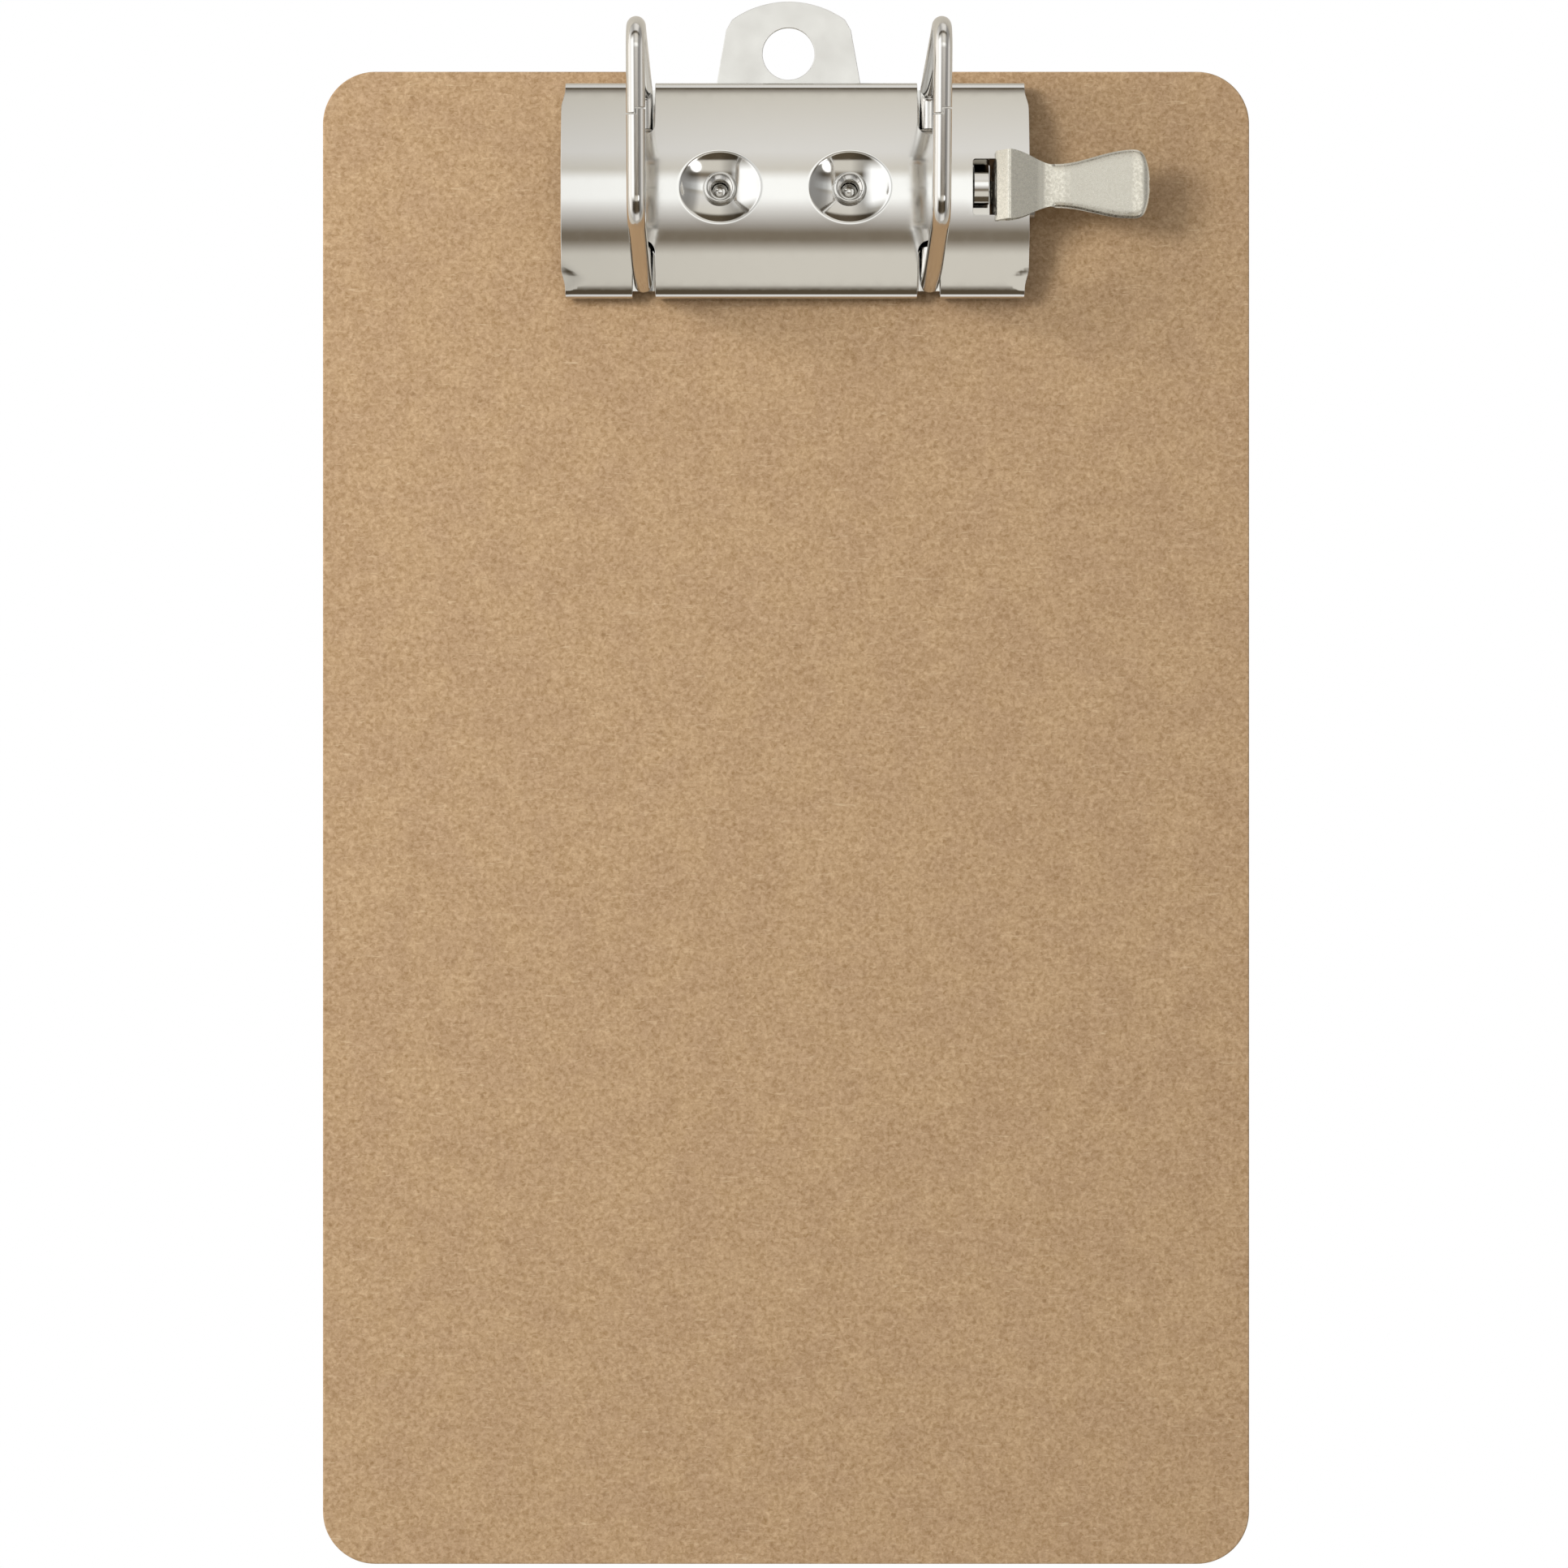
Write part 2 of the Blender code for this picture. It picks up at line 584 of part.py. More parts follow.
def seam_tool(name, x, end, slope, seam_point):
    """A block, laid along the arch's sloping top, that takes away half of a wire's end."""
    across = FIT_GAP / 2
    reach = SEAM_BLOCK_REACH
    if end == "front":
        low, high = (-reach, SEAM_LEFT_Y - SEAM_RIGHT_Y, -reach), (across, reach, reach)
    else:
        low, high = (-across, -reach, -reach), (reach, SEAM_RIGHT_Y - SEAM_LEFT_Y, reach)
    tool = box_tool(name, low, high)
    tool.rotation_euler.x = slope
    tool.location = (x, COVER_MIDDLE_Y + seam_point[0], seam_point[1])
    return tool


def build_arch_half(end, hand, x, frame):
    """One bent wire: foot on the rail, leg through the slot, and half of the arch's top."""
    top_start, top_end = Vector(ARCH_FRONT_CORNER), Vector(ARCH_REAR_CORNER)
    slope = math.atan2(top_end.y - top_start.y, top_end.x - top_start.x)
    seam_y = SEAM_RIGHT_Y - FIT_GAP / 2 if end == "front" else SEAM_LEFT_Y + FIT_GAP / 2
    seam_point = (seam_y, top_start.y + (seam_y - top_start.x) * math.tan(slope))
    path = arch_half_path(end, seam_point)
    places = [(0.0, COVER_MIDDLE_Y + point.x, point.y) for point in path]
    half = wire(end + "_arch_" + hand, places, ARCH_WIRE_RADIUS)
    combine(half, seam_tool(half.name + "_seam", x, end, slope, seam_point), "DIFFERENCE")
    hang_on(half, frame)
    half.location.x = x
    return finish(half, NICKEL)


def eased(share):
    """0 to 1 along half a cosine wave, flat at both ends."""
    return (1 - math.cos(math.pi * min(1.0, max(0.0, share)))) / 2


def lever_half_width(x, z):
    """Half the lever's width: narrow finger, flange through the window, then root, waist and paddle."""
    if z < PIN_Z - KNUCKLE_RADIUS:
        return LEVER_FINGER_HALF_WIDTH
    if z < LEVER_SHOULDER_Z:
        return LEVER_FLANGE_HALF_WIDTH
    root_x = LEVER_CREST[0]
    if x < LEVER_WAIST_X:
        share = (LEVER_WAIST_X - x) / (LEVER_WAIST_X - root_x)
        return LEVER_WAIST_HALF_WIDTH + (LEVER_ROOT_HALF_WIDTH - LEVER_WAIST_HALF_WIDTH) * eased(share)
    share = (x - LEVER_WAIST_X) / (LEVER_PADDLE_X - LEVER_WAIST_X)
    return LEVER_WAIST_HALF_WIDTH + (LEVER_PADDLE_HALF_WIDTH - LEVER_WAIST_HALF_WIDTH) * eased(share)


def lever_stations():
    """(X, Z, half width) along the lever's middle line, from the finger's end to the paddle's tip."""
    finger_z = BOARD_THICKNESS + FIT_GAP + LEVER_SHEET / 2
    corners = [
        (LEVER_FINGER_X, finger_z),
        (LEVER_FLANGE_X, finger_z),
        (LEVER_FLANGE_X, LEVER_FACET_Z),
        LEVER_CREST,
        (LEVER_SADDLE_X, LEVER_SADDLE_Z),
        (LEVER_PADDLE_X, LEVER_PADDLE_Z),
    ]
    path = rounded_path(corners, [LEVER_FOOT_BEND, LEVER_FACET_BEND, LEVER_CREST_BEND, LEVER_SADDLE_BEND])
    stations = []
    for start, end in zip(path, path[1:]):
        steps = max(1, math.ceil((end - start).length / LEVER_STATION_STEP))
        for step in range(steps):
            point = start.lerp(end, step / steps)
            stations.append((point.x, point.y, lever_half_width(point.x, point.y)))
    tip_steps = 7
    for step in range(tip_steps + 1):
        angle = LEVER_TIP_LAST_ANGLE * step / tip_steps
        past = math.sin(angle) ** (2 / LEVER_TIP_SQUARENESS)
        x = LEVER_PADDLE_X + (LEVER_TIP_X - LEVER_PADDLE_X) * past
        narrowing = math.cos(angle) ** (2 / LEVER_TIP_SQUARENESS)
        stations.append((x, LEVER_PADDLE_Z - LEVER_TIP_DROP * past**2, LEVER_PADDLE_HALF_WIDTH * narrowing))
    return stations


def build_lever():
    stations = lever_stations()

    def place(row, across):
        x, z, half_width = stations[row]
        share = 2 * across - 1
        drop = LEVER_EDGE_DROP * share**6 if x > LEVER_SADDLE_X else 0.0
        return (x - PIN_X, half_width * share, z - drop - PIN_Z)

    lever = bent_sheet("lever", len(stations) - 1, 8, place, LEVER_SHEET)
    lever.location = (PIN_X, COVER_MIDDLE_Y, PIN_Z)
    knuckle_length = KNUCKLE_OUTER_Y - KNUCKLE_INNER_Y
    for end, side in (("front", -1), ("rear", 1)):
        y = COVER_MIDDLE_Y + side * (KNUCKLE_INNER_Y + knuckle_length / 2)
        knuckle = rod_tool(end + "_knuckle", (PIN_X, y, PIN_Z), KNUCKLE_RADIUS, knuckle_length, axis="Y")
        combine(lever, knuckle, "UNION")
    pin_middle = (PIN_X, COVER_MIDDLE_Y, PIN_Z)
    bore = rod_tool("knuckle_bore", pin_middle, PIN_HOLE_RADIUS, 4 * KNUCKLE_OUTER_Y, axis="Y")
    combine(lever, bore, "DIFFERENCE")
    return finish(lever, NICKEL)


def build_lever_bracket():
    """A bridge under the cover's right end: two ears for the pin and a lip past the cover's end."""
    half_width = BRACKET_HALF_WIDTH - BRACKET_SHEET / 2
    foot_z = HANGER_BOTTOM_Z + FIT_GAP
    underside = CROWN_CENTRE_Z + math.sqrt((CROWN_RADIUS - COVER_SHEET / 2) ** 2 - BRACKET_HALF_WIDTH**2)
    top_z = underside - FIT_GAP - BRACKET_SHEET / 2
    corners = [(-half_width, foot_z), (-half_width, top_z), (half_width, top_z), (half_width, foot_z)]
    section = rounded_path(corners, [BRACKET_BEND, BRACKET_BEND], math.radians(30))
    length = BRACKET_RIGHT_X - BRACKET_EAR_LEFT_X

    def place(row, across):
        y, z = section[row]
        return (BRACKET_EAR_LEFT_X + length * across, COVER_MIDDLE_Y + y, z)

    bracket = bent_sheet("lever_bracket", len(section) - 1, 1, place, BRACKET_SHEET)
    inner = half_width - BRACKET_SHEET / 2
    web_cut = box_tool(
        "web_cut",
        (BRACKET_EAR_LEFT_X - BRACKET_SHEET, COVER_MIDDLE_Y - inner, 0.0),
        (BRACKET_WEB_LEFT_X, COVER_MIDDLE_Y + inner, COVER_TOP_Z),
    )
    ear_cut = box_tool(
        "ear_cut",
        (BRACKET_EAR_RIGHT_X, COVER_MIDDLE_Y - 2 * BRACKET_HALF_WIDTH, 0.0),
        (BRACKET_RIGHT_X + BRACKET_SHEET, COVER_MIDDLE_Y + 2 * BRACKET_HALF_WIDTH, top_z - BRACKET_BEND),
    )
    lip = box_tool(
        "end_lip",
        (BRACKET_RIGHT_X - BRACKET_SHEET, COVER_MIDDLE_Y - inner, foot_z),
        (BRACKET_RIGHT_X - BRACKET_LIP_SET_BACK, COVER_MIDDLE_Y + inner, top_z),
    )
    combine(bracket, web_cut, "DIFFERENCE")
    combine(bracket, ear_cut, "DIFFERENCE")
    combine(bracket, lip, "UNION")
    pin_middle = (PIN_X, COVER_MIDDLE_Y, PIN_Z)
    bore = rod_tool("ear_bore", pin_middle, PIN_HOLE_RADIUS, 4 * BRACKET_HALF_WIDTH, axis="Y")
    combine(bracket, bore, "DIFFERENCE")
    return finish(bracket, STEEL)


def build_lever_pin():
    """A pin through both ears and the lever's knuckles, headed at both ends."""
    reach = BRACKET_HALF_WIDTH + FIT_GAP
    end = reach + PIN_HEAD
    pin = turned("lever_pin", [
        (0.0, end),
        (PIN_HEAD_RADIUS, end),
        (PIN_HEAD_RADIUS, reach),
        (PIN_RADIUS, reach),
        (PIN_RADIUS, -reach),
        (PIN_HEAD_RADIUS, -reach),
        (PIN_HEAD_RADIUS, -end),
        (0.0, -end),
    ], steps=24)
    pin.location = (PIN_X, COVER_MIDDLE_Y, PIN_Z)
    pin.rotation_euler.x = math.pi / 2
    return finish(pin, STEEL)


HARDBOARD = ((0.51, 0.34, 0.19), 0.55, 0.0)
NICKEL = ((0.72, 0.69, 0.64), 0.18, 1.0)
STEEL = ((0.45, 0.45, 0.45), 0.4, 1.0)

for leftover in list(bpy.data.objects):
    bpy.data.objects.remove(leftover)
clipboard = new_collection("arch_clipboard")
cutters = new_collection("cutters")

build_board()
build_cover_plate()
build_hanger_plate()
for rivet_hand, rivet_x in rivet_places():
    build_rivet(rivet_hand, rivet_x)
for rail_end, rail_side in (("front", -1), ("rear", 1)):
    hinge = hinge_frame(rail_end + "_hinge", COVER_MIDDLE_Y + rail_side * CURL_CENTRE_Y, CURL_CENTRE_Z)
    build_rail(rail_end, rail_side, hinge)
    for arch_hand, arch_x in arch_places():
        build_arch_half(rail_end, arch_hand, arch_x, hinge)
build_lever_bracket()
build_lever_pin()
build_lever()
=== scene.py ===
import math

import bmesh
import bpy
from mathutils import Matrix, Vector
from mathutils.geometry import delaunay_2d_cdt


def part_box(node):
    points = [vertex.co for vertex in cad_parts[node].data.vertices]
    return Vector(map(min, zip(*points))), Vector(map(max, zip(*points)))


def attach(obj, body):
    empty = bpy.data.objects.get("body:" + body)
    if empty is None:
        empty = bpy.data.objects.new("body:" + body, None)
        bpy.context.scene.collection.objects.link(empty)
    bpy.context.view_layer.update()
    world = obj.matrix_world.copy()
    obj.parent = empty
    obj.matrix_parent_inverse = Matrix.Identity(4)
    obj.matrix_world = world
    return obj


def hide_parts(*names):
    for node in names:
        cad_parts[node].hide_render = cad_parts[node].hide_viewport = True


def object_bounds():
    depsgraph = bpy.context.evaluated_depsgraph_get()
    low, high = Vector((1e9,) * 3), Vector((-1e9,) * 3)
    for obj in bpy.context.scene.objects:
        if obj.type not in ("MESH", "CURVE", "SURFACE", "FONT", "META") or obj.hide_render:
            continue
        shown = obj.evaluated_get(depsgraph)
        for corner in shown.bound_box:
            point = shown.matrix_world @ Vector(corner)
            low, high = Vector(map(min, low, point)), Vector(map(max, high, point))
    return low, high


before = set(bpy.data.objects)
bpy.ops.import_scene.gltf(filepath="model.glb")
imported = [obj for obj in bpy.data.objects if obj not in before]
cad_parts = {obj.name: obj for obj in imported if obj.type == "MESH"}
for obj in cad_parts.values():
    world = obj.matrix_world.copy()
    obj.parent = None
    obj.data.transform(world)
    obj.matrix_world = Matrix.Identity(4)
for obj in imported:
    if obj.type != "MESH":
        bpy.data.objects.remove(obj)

cad_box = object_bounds()
MM = 0.001

# ---------------------------------------------------------------------------------------------
# Board: a panel of 1/8 inch tempered hardboard. Wood fibre is pressed wet between a polished plate
# and a wire screen, so its face is smooth and mottled and its back carries the screen's print. Its
# outline is punched, then the edges are eased by sanding.
# ---------------------------------------------------------------------------------------------


def linear(colour):
    """An sRGB hex colour as the linear RGBA that the shaders take."""
    channels = [int(colour[place:place + 2], 16) / 255 for place in (1, 3, 5)]
    return [c / 12.92 if c <= 0.04045 else ((c + 0.055) / 1.055) ** 2.4 for c in channels] + [1.0]


def add(tree, kind, inputs=None, stops=None, **settings):
    """Adds one node: its settings, its sockets' values or the sockets linked to them, and a ramp's stops."""
    node = tree.nodes.new(kind)
    for name, value in settings.items():
        setattr(node, name, value)
    for socket, value in (inputs or {}).items():
        if isinstance(value, bpy.types.NodeSocket):
            tree.links.new(value, node.inputs[socket])
        else:
            node.inputs[socket].default_value = value
    for index, (position, colour) in enumerate(stops or []):
        ramp = node.color_ramp.elements
        stop = ramp[index] if index < 2 else ramp.new(position)
        stop.position = position
        stop.color = colour
    return node


def new_material(name):
    """An empty node material and its node tree, ready for the shader."""
    made = bpy.data.materials.new(name)
    made.use_nodes = True
    made.node_tree.nodes.clear()
    return made, made.node_tree


def arc(centre, radius, start, end, steps):
    """Points on an arc, angles in degrees, both ends included."""
    angles = [math.radians(start + (end - start) * step / steps) for step in range(steps + 1)]
    return [(centre[0] + radius * math.cos(a), centre[1] + radius * math.sin(a)) for a in angles]


def mirrored(points):
    """The left side of an outline, from its right side."""
    return [(-x, y) for x, y in reversed(points)]


def piece_from(name, mesh, look):
    """A piece with its place in its mesh: its object stays at the origin."""
    made = bpy.data.objects.new(name, mesh)
    bpy.context.scene.collection.objects.link(made)
    mesh.materials.clear()
    mesh.materials.append(look)
    return made


WELD_DISTANCE = 0.002 * MM
SHARP_ANGLE = math.radians(40)


def evaluated_mesh(thing):
    """The plain mesh of an object with its modifiers applied, its loose caps welded."""
    bpy.context.view_layer.update()
    mesh = bpy.data.meshes.new_from_object(thing.evaluated_get(bpy.context.evaluated_depsgraph_get()))
    worked = bmesh.new()
    worked.from_mesh(mesh)
    bmesh.ops.remove_doubles(worked, verts=worked.verts, dist=WELD_DISTANCE)
    bmesh.ops.dissolve_degenerate(worked, edges=worked.edges, dist=WELD_DISTANCE)
    bmesh.ops.recalc_face_normals(worked, faces=worked.faces)
    worked.to_mesh(mesh)
    worked.free()
    return mesh


def flat_mesh(name, outlines, bottom, thickness, easing, segments=2):
    """A flat sheet with eased edges: closed outlines, the first outside and the others holes."""
    curve = bpy.data.curves.new(name, "CURVE")
    curve.dimensions = "2D"
    curve.fill_mode = "BOTH"
    curve.extrude = thickness / 2 - easing
    curve.bevel_depth = easing
    curve.bevel_resolution = segments
    curve.offset = -easing
    for outline in outlines:
        spline = curve.splines.new("POLY")
        spline.points.add(len(outline) - 1)
        for point, (x, y) in zip(spline.points, outline):
            point.co = (x, y, 0.0, 1.0)
        spline.use_cyclic_u = True
    drawn = bpy.data.objects.new(name, curve)
    bpy.context.scene.collection.objects.link(drawn)
    mesh = evaluated_mesh(drawn)
    bpy.data.objects.remove(drawn)
    mesh.transform(Matrix.Translation((0.0, 0.0, bottom + thickness / 2)))
    mesh.set_sharp_from_angle(angle=SHARP_ANGLE)
    for face in mesh.polygons:
        face.use_smooth = abs(face.normal.z) < 0.999
    return mesh


board_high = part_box("board")[1]
BOARD_CORNER = 12.9 * MM
NOTCH_HALF_WIDTH = 37.5 * MM
NOTCH_DEPTH = 5.2 * MM
NOTCH_CORNER = 2.0 * MM
BOARD_EASING = 0.35 * MM
COUNTERBORE_RADIUS = 5.4 * MM
COUNTERBORE_DEPTH = 1.6 * MM
RIVET_HOLE_RADIUS = 2.9 * MM
rivet_x = [sum(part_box(name)[end].x for end in (0, 1)) / 2 for name in ("left_rivet", "right_rivet")]
cover_low, cover_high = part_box("cover_plate")
middle_y = (cover_low.y + cover_high.y) / 2

corner_x = board_high.x - BOARD_CORNER
corner_y = board_high.y - BOARD_CORNER
notch_floor = board_high.y - NOTCH_DEPTH
right_side = arc((corner_x, -corner_y), BOARD_CORNER, -90, 0, 24)
right_side += arc((corner_x, corner_y), BOARD_CORNER, 0, 90, 24)
right_side.append((NOTCH_HALF_WIDTH, board_high.y))
right_side += arc(
    (NOTCH_HALF_WIDTH - NOTCH_CORNER, notch_floor + NOTCH_CORNER), NOTCH_CORNER, 0, -90, 8
)
outline = right_side + mirrored(right_side)
board_mesh = flat_mesh("board_panel", [outline], 0.0, board_high.z, BOARD_EASING)

hardboard, tree = new_material("Tempered hardboard, smooth face and screened back")
place = add(tree, "ShaderNodeTexCoord").outputs["Object"]
facing = add(tree, "ShaderNodeTexCoord").outputs["Normal"]
height = add(tree, "ShaderNodeSeparateXYZ", {0: facing}).outputs["Z"]
# Pulp clouds some 11 mm across: slightly paler patches where the fibre mat lay thicker.
cloud = add(tree, "ShaderNodeTexNoise", {
    "Vector": place, "Scale": 1 / (11 * MM), "Detail": 3.0, "Roughness": 0.6,
})
share = add(tree, "ShaderNodeMapRange", {"Value": cloud.outputs["Fac"], "From Min": 0.38, "From Max": 0.62})
clouded = add(tree, "ShaderNodeMix", {
    0: share.outputs[0], 6: linear("#AA8D6B"), 7: linear("#AF926E"),
}, data_type="RGBA")
# Fibre bundles about 1 mm across, the grain that the eye sees first.
grain = add(tree, "ShaderNodeTexNoise", {
    "Vector": place, "Scale": 1 / (0.95 * MM), "Detail": 3.0, "Roughness": 0.62, "Distortion": 0.6,
})
tint = add(tree, "ShaderNodeValToRGB", {"Fac": grain.outputs["Fac"]}, stops=[
    (0.25, (0.69, 0.62, 0.50, 1)), (0.75, (1.30, 1.36, 1.52, 1)),
])
colour = add(tree, "ShaderNodeMix", {
    0: 1.0, 6: clouded.outputs[2], 7: tint.outputs["Color"],
}, data_type="RGBA", blend_type="MULTIPLY").outputs[2]
# Single pale fibres some 4 mm long lie in every direction: three thin stretched noises, turned.
FIBRE_STRETCH = (1 / (4.2 * MM), 1 / (0.55 * MM), 1 / (3 * MM))
for turn, seed in ((17, 3.1), (78, 7.7), (141, 12.9)):
    laid = add(tree, "ShaderNodeMapping", {
        "Vector": place, "Rotation": (0.0, 0.0, math.radians(turn)), "Scale": FIBRE_STRETCH,
        "Location": (seed, seed, seed),
    })
    streak = add(tree, "ShaderNodeTexNoise", {
        "Vector": laid.outputs[0], "Scale": 1.0, "Detail": 1.0, "Distortion": 1.3,
    })
    share = add(tree, "ShaderNodeMapRange", {
        "Value": streak.outputs["Fac"], "From Min": 0.68, "From Max": 0.80, "To Max": 0.6,
    })
    colour = add(tree, "ShaderNodeMix", {
        0: share.outputs[0], 6: colour, 7: linear("#CBB292"),
    }, data_type="RGBA").outputs[2]
# Sparse bark specks about 1 mm across, in three of every eight cells of a 3.4 mm pattern.
cells = add(tree, "ShaderNodeTexVoronoi", {"Vector": place, "Scale": 1 / (3.4 * MM)})
chosen = add(tree, "ShaderNodeSeparateColor", {0: cells.outputs["Color"]})
near = add(tree, "ShaderNodeMapRange", {
    "Value": cells.outputs["Distance"], "From Min": 0.22, "From Max": 0.06, "To Max": 1.0,
})
rare = add(tree, "ShaderNodeMath", {0: chosen.outputs[0], 1: 0.62}, operation="GREATER_THAN")
speck = add(tree, "ShaderNodeMath", {0: near.outputs[0], 1: rare.outputs[0]}, operation="MULTIPLY")
speck = add(tree, "ShaderNodeMath", {0: speck.outputs[0], 1: 0.42}, operation="MULTIPLY")
colour = add(tree, "ShaderNodeMix", {
    0: speck.outputs[0], 6: colour, 7: linear("#7E5F3C"),
}, data_type="RGBA").outputs[2]
# The punched edge is browner than the face, for its fibres are cut across.
level = add(tree, "ShaderNodeMath", {0: height}, operation="ABSOLUTE")
edge = add(tree, "ShaderNodeMapRange", {"Value": level.outputs[0], "From Min": 0.75, "From Max": 0.2})
colour = add(tree, "ShaderNodeMix", {
    0: edge.outputs[0], 6: colour, 7: linear("#9A7A54"),
}, data_type="RGBA").outputs[2]
# The back keeps the print of the screen that the mat was pressed on: a square weave at 1.6 mm. The
# wave node draws 20 radians of wave for each unit of its scale.
SCREEN_PITCH = 1.6 * MM
weave_scale = 2 * math.pi / (20 * SCREEN_PITCH)
weave_x = add(tree, "ShaderNodeTexWave", {"Vector": place, "Scale": weave_scale}, bands_direction="X")
weave_y = add(tree, "ShaderNodeTexWave", {"Vector": place, "Scale": weave_scale}, bands_direction="Y")
weave = add(tree, "ShaderNodeMath", {
    0: weave_x.outputs["Fac"], 1: weave_y.outputs["Fac"],
}, operation="MULTIPLY")
on_back = add(tree, "ShaderNodeMath", {0: height, 1: -0.5}, operation="LESS_THAN")
print_share = add(tree, "ShaderNodeMath", {0: weave.outputs[0], 1: on_back.outputs[0]}, operation="MULTIPLY")
dark_share = add(tree, "ShaderNodeMath", {0: print_share.outputs[0], 1: 0.35}, operation="MULTIPLY")
colour = add(tree, "ShaderNodeMix", {
    0: dark_share.outputs[0], 6: colour, 7: linear("#7A5A38"),
}, data_type="RGBA").outputs[2]
relief = add(tree, "ShaderNodeMath", {
    0: print_share.outputs[0], 1: -3.0, 2: grain.outputs["Fac"],
}, operation="MULTIPLY_ADD")
bump = add(tree, "ShaderNodeBump", {"Strength": 0.25, "Distance": 0.05 * MM, "Height": relief.outputs[0]})
rough = add(tree, "ShaderNodeMapRange", {"Value": grain.outputs["Fac"], "To Min": 0.5, "To Max": 0.68})
shader = add(tree, "ShaderNodeBsdfPrincipled", {
    "Base Color": colour, "Roughness": rough.outputs[0], "IOR": 1.46, "Specular IOR Level": 0.35,
    "Normal": bump.outputs[0],
})
add(tree, "ShaderNodeOutputMaterial", {"Surface": shader.outputs["BSDF"]})

board = piece_from("hardboard_panel", board_mesh, hardboard)


def cut(piece, tool):
    """Cuts a closed tool out of a piece for good."""
    modifier = piece.modifiers.new("cut", "BOOLEAN")
    modifier.solver = "EXACT"
    modifier.object = tool
    bpy.context.view_layer.update()
    mesh = bpy.data.meshes.new_from_object(piece.evaluated_get(bpy.context.evaluated_depsgraph_get()))
    piece.modifiers.clear()
    old = piece.data
    piece.data = mesh
    bpy.data.meshes.remove(old)
    tool_mesh = tool.data
    bpy.data.objects.remove(tool)
    bpy.data.meshes.remove(tool_mesh)


TURNED_SHARP_ANGLE = math.radians(35)


def turned(name, profile, look, steps):
    """A closed section of (radius, height), turned about Z."""
    worked = bmesh.new()
    rings = []
    for step in range(steps):
        angle = 2 * math.pi * step / steps
        ring = [(r * math.cos(angle), r * math.sin(angle), z) for r, z in profile]
        rings.append([worked.verts.new(place_on_ring) for place_on_ring in ring])
    for ring, following in zip(rings, rings[1:] + rings[:1]):
        for at in range(len(profile)):
            after = (at + 1) % len(profile)
            worked.faces.new((ring[at], following[at], following[after], ring[after]))
    bmesh.ops.remove_doubles(worked, verts=worked.verts, dist=WELD_DISTANCE)
    bmesh.ops.recalc_face_normals(worked, faces=worked.faces)
    mesh = bpy.data.meshes.new(name)
    worked.to_mesh(mesh)
    worked.free()
    mesh.shade_smooth()
    mesh.set_sharp_from_angle(angle=TURNED_SHARP_ANGLE)
    return piece_from(name, mesh, look)


def disc_tool(name, x, y, low, high, radius):
    """A closed round cutter."""
    worked = bmesh.new()
    place_at = Matrix.Translation((x, y, (low + high) / 2))
    bmesh.ops.create_cone(
        worked, cap_ends=True, segments=64, radius1=radius, radius2=radius, depth=high - low, matrix=place_at
    )
    mesh = bpy.data.meshes.new(name)
    worked.to_mesh(mesh)
    worked.free()
    return piece_from(name, mesh, hardboard)


for x in rivet_x:
    cut(board, disc_tool("rivet_hole", x, middle_y, -board_high.z, 2 * board_high.z, RIVET_HOLE_RADIUS))
    cut(board, disc_tool("recess", x, middle_y, -board_high.z, COUNTERBORE_DEPTH, COUNTERBORE_RADIUS))
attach(board, "base")
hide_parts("board")

# ---------------------------------------------------------------------------------------------
# Hanging tab: blanked from 0.7 mm steel strip and plated with dull nickel. It lies flat on the
# board under the cover, held by both rivets, and its arched end with the round hole stands out.
# ---------------------------------------------------------------------------------------------
tab_low, tab_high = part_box("hanger_plate")
TAB_SHOULDER_Y = 194.1 * MM
TAB_SHOULDER_HALF_WIDTH = 15.4 * MM
TAB_SHOULDER_CUT = 1.5 * MM
TAB_BASE_HALF_WIDTH = 17.8 * MM
TAB_NECK_START_Y = 161.25 * MM
TAB_NECK_END_Y = 170.25 * MM
TAB_TOP_RADIUS = 24.0 * MM
TAB_HOLE_Y = 188.3 * MM
TAB_HOLE_RADIUS = 6.4 * MM
TAB_EASING = 0.12 * MM

tab_x = (tab_low.x + tab_high.x) / 2
end_half_width = (tab_high.x - tab_low.x) / 2
side = [
    (end_half_width, tab_low.y),
    (end_half_width, TAB_NECK_START_Y),
    (TAB_BASE_HALF_WIDTH, TAB_NECK_END_Y),
    (TAB_BASE_HALF_WIDTH, cover_high.y),
    (TAB_SHOULDER_HALF_WIDTH, TAB_SHOULDER_Y),
]
half_angle = math.degrees(math.asin((TAB_SHOULDER_HALF_WIDTH - TAB_SHOULDER_CUT) / TAB_TOP_RADIUS))
top = arc((0.0, tab_high.y - TAB_TOP_RADIUS), TAB_TOP_RADIUS, 90 - half_angle, 90 + half_angle, 32)
holes = [arc((0.0, TAB_HOLE_Y), TAB_HOLE_RADIUS, 0, 360, 72)[:-1]]
holes += [arc((x - tab_x, middle_y), RIVET_HOLE_RADIUS, 0, 360, 32)[:-1] for x in rivet_x]
tab_mesh = flat_mesh(
    "hanging_tab", [side + top + mirrored(side)] + holes, tab_low.z, tab_high.z - tab_low.z, TAB_EASING, 1
)
tab_mesh.transform(Matrix.Translation((tab_x, 0.0, 0.0)))

dull_nickel, tree = new_material("Dull nickel plate on rolled strip")
place = add(tree, "ShaderNodeTexCoord").outputs["Object"]
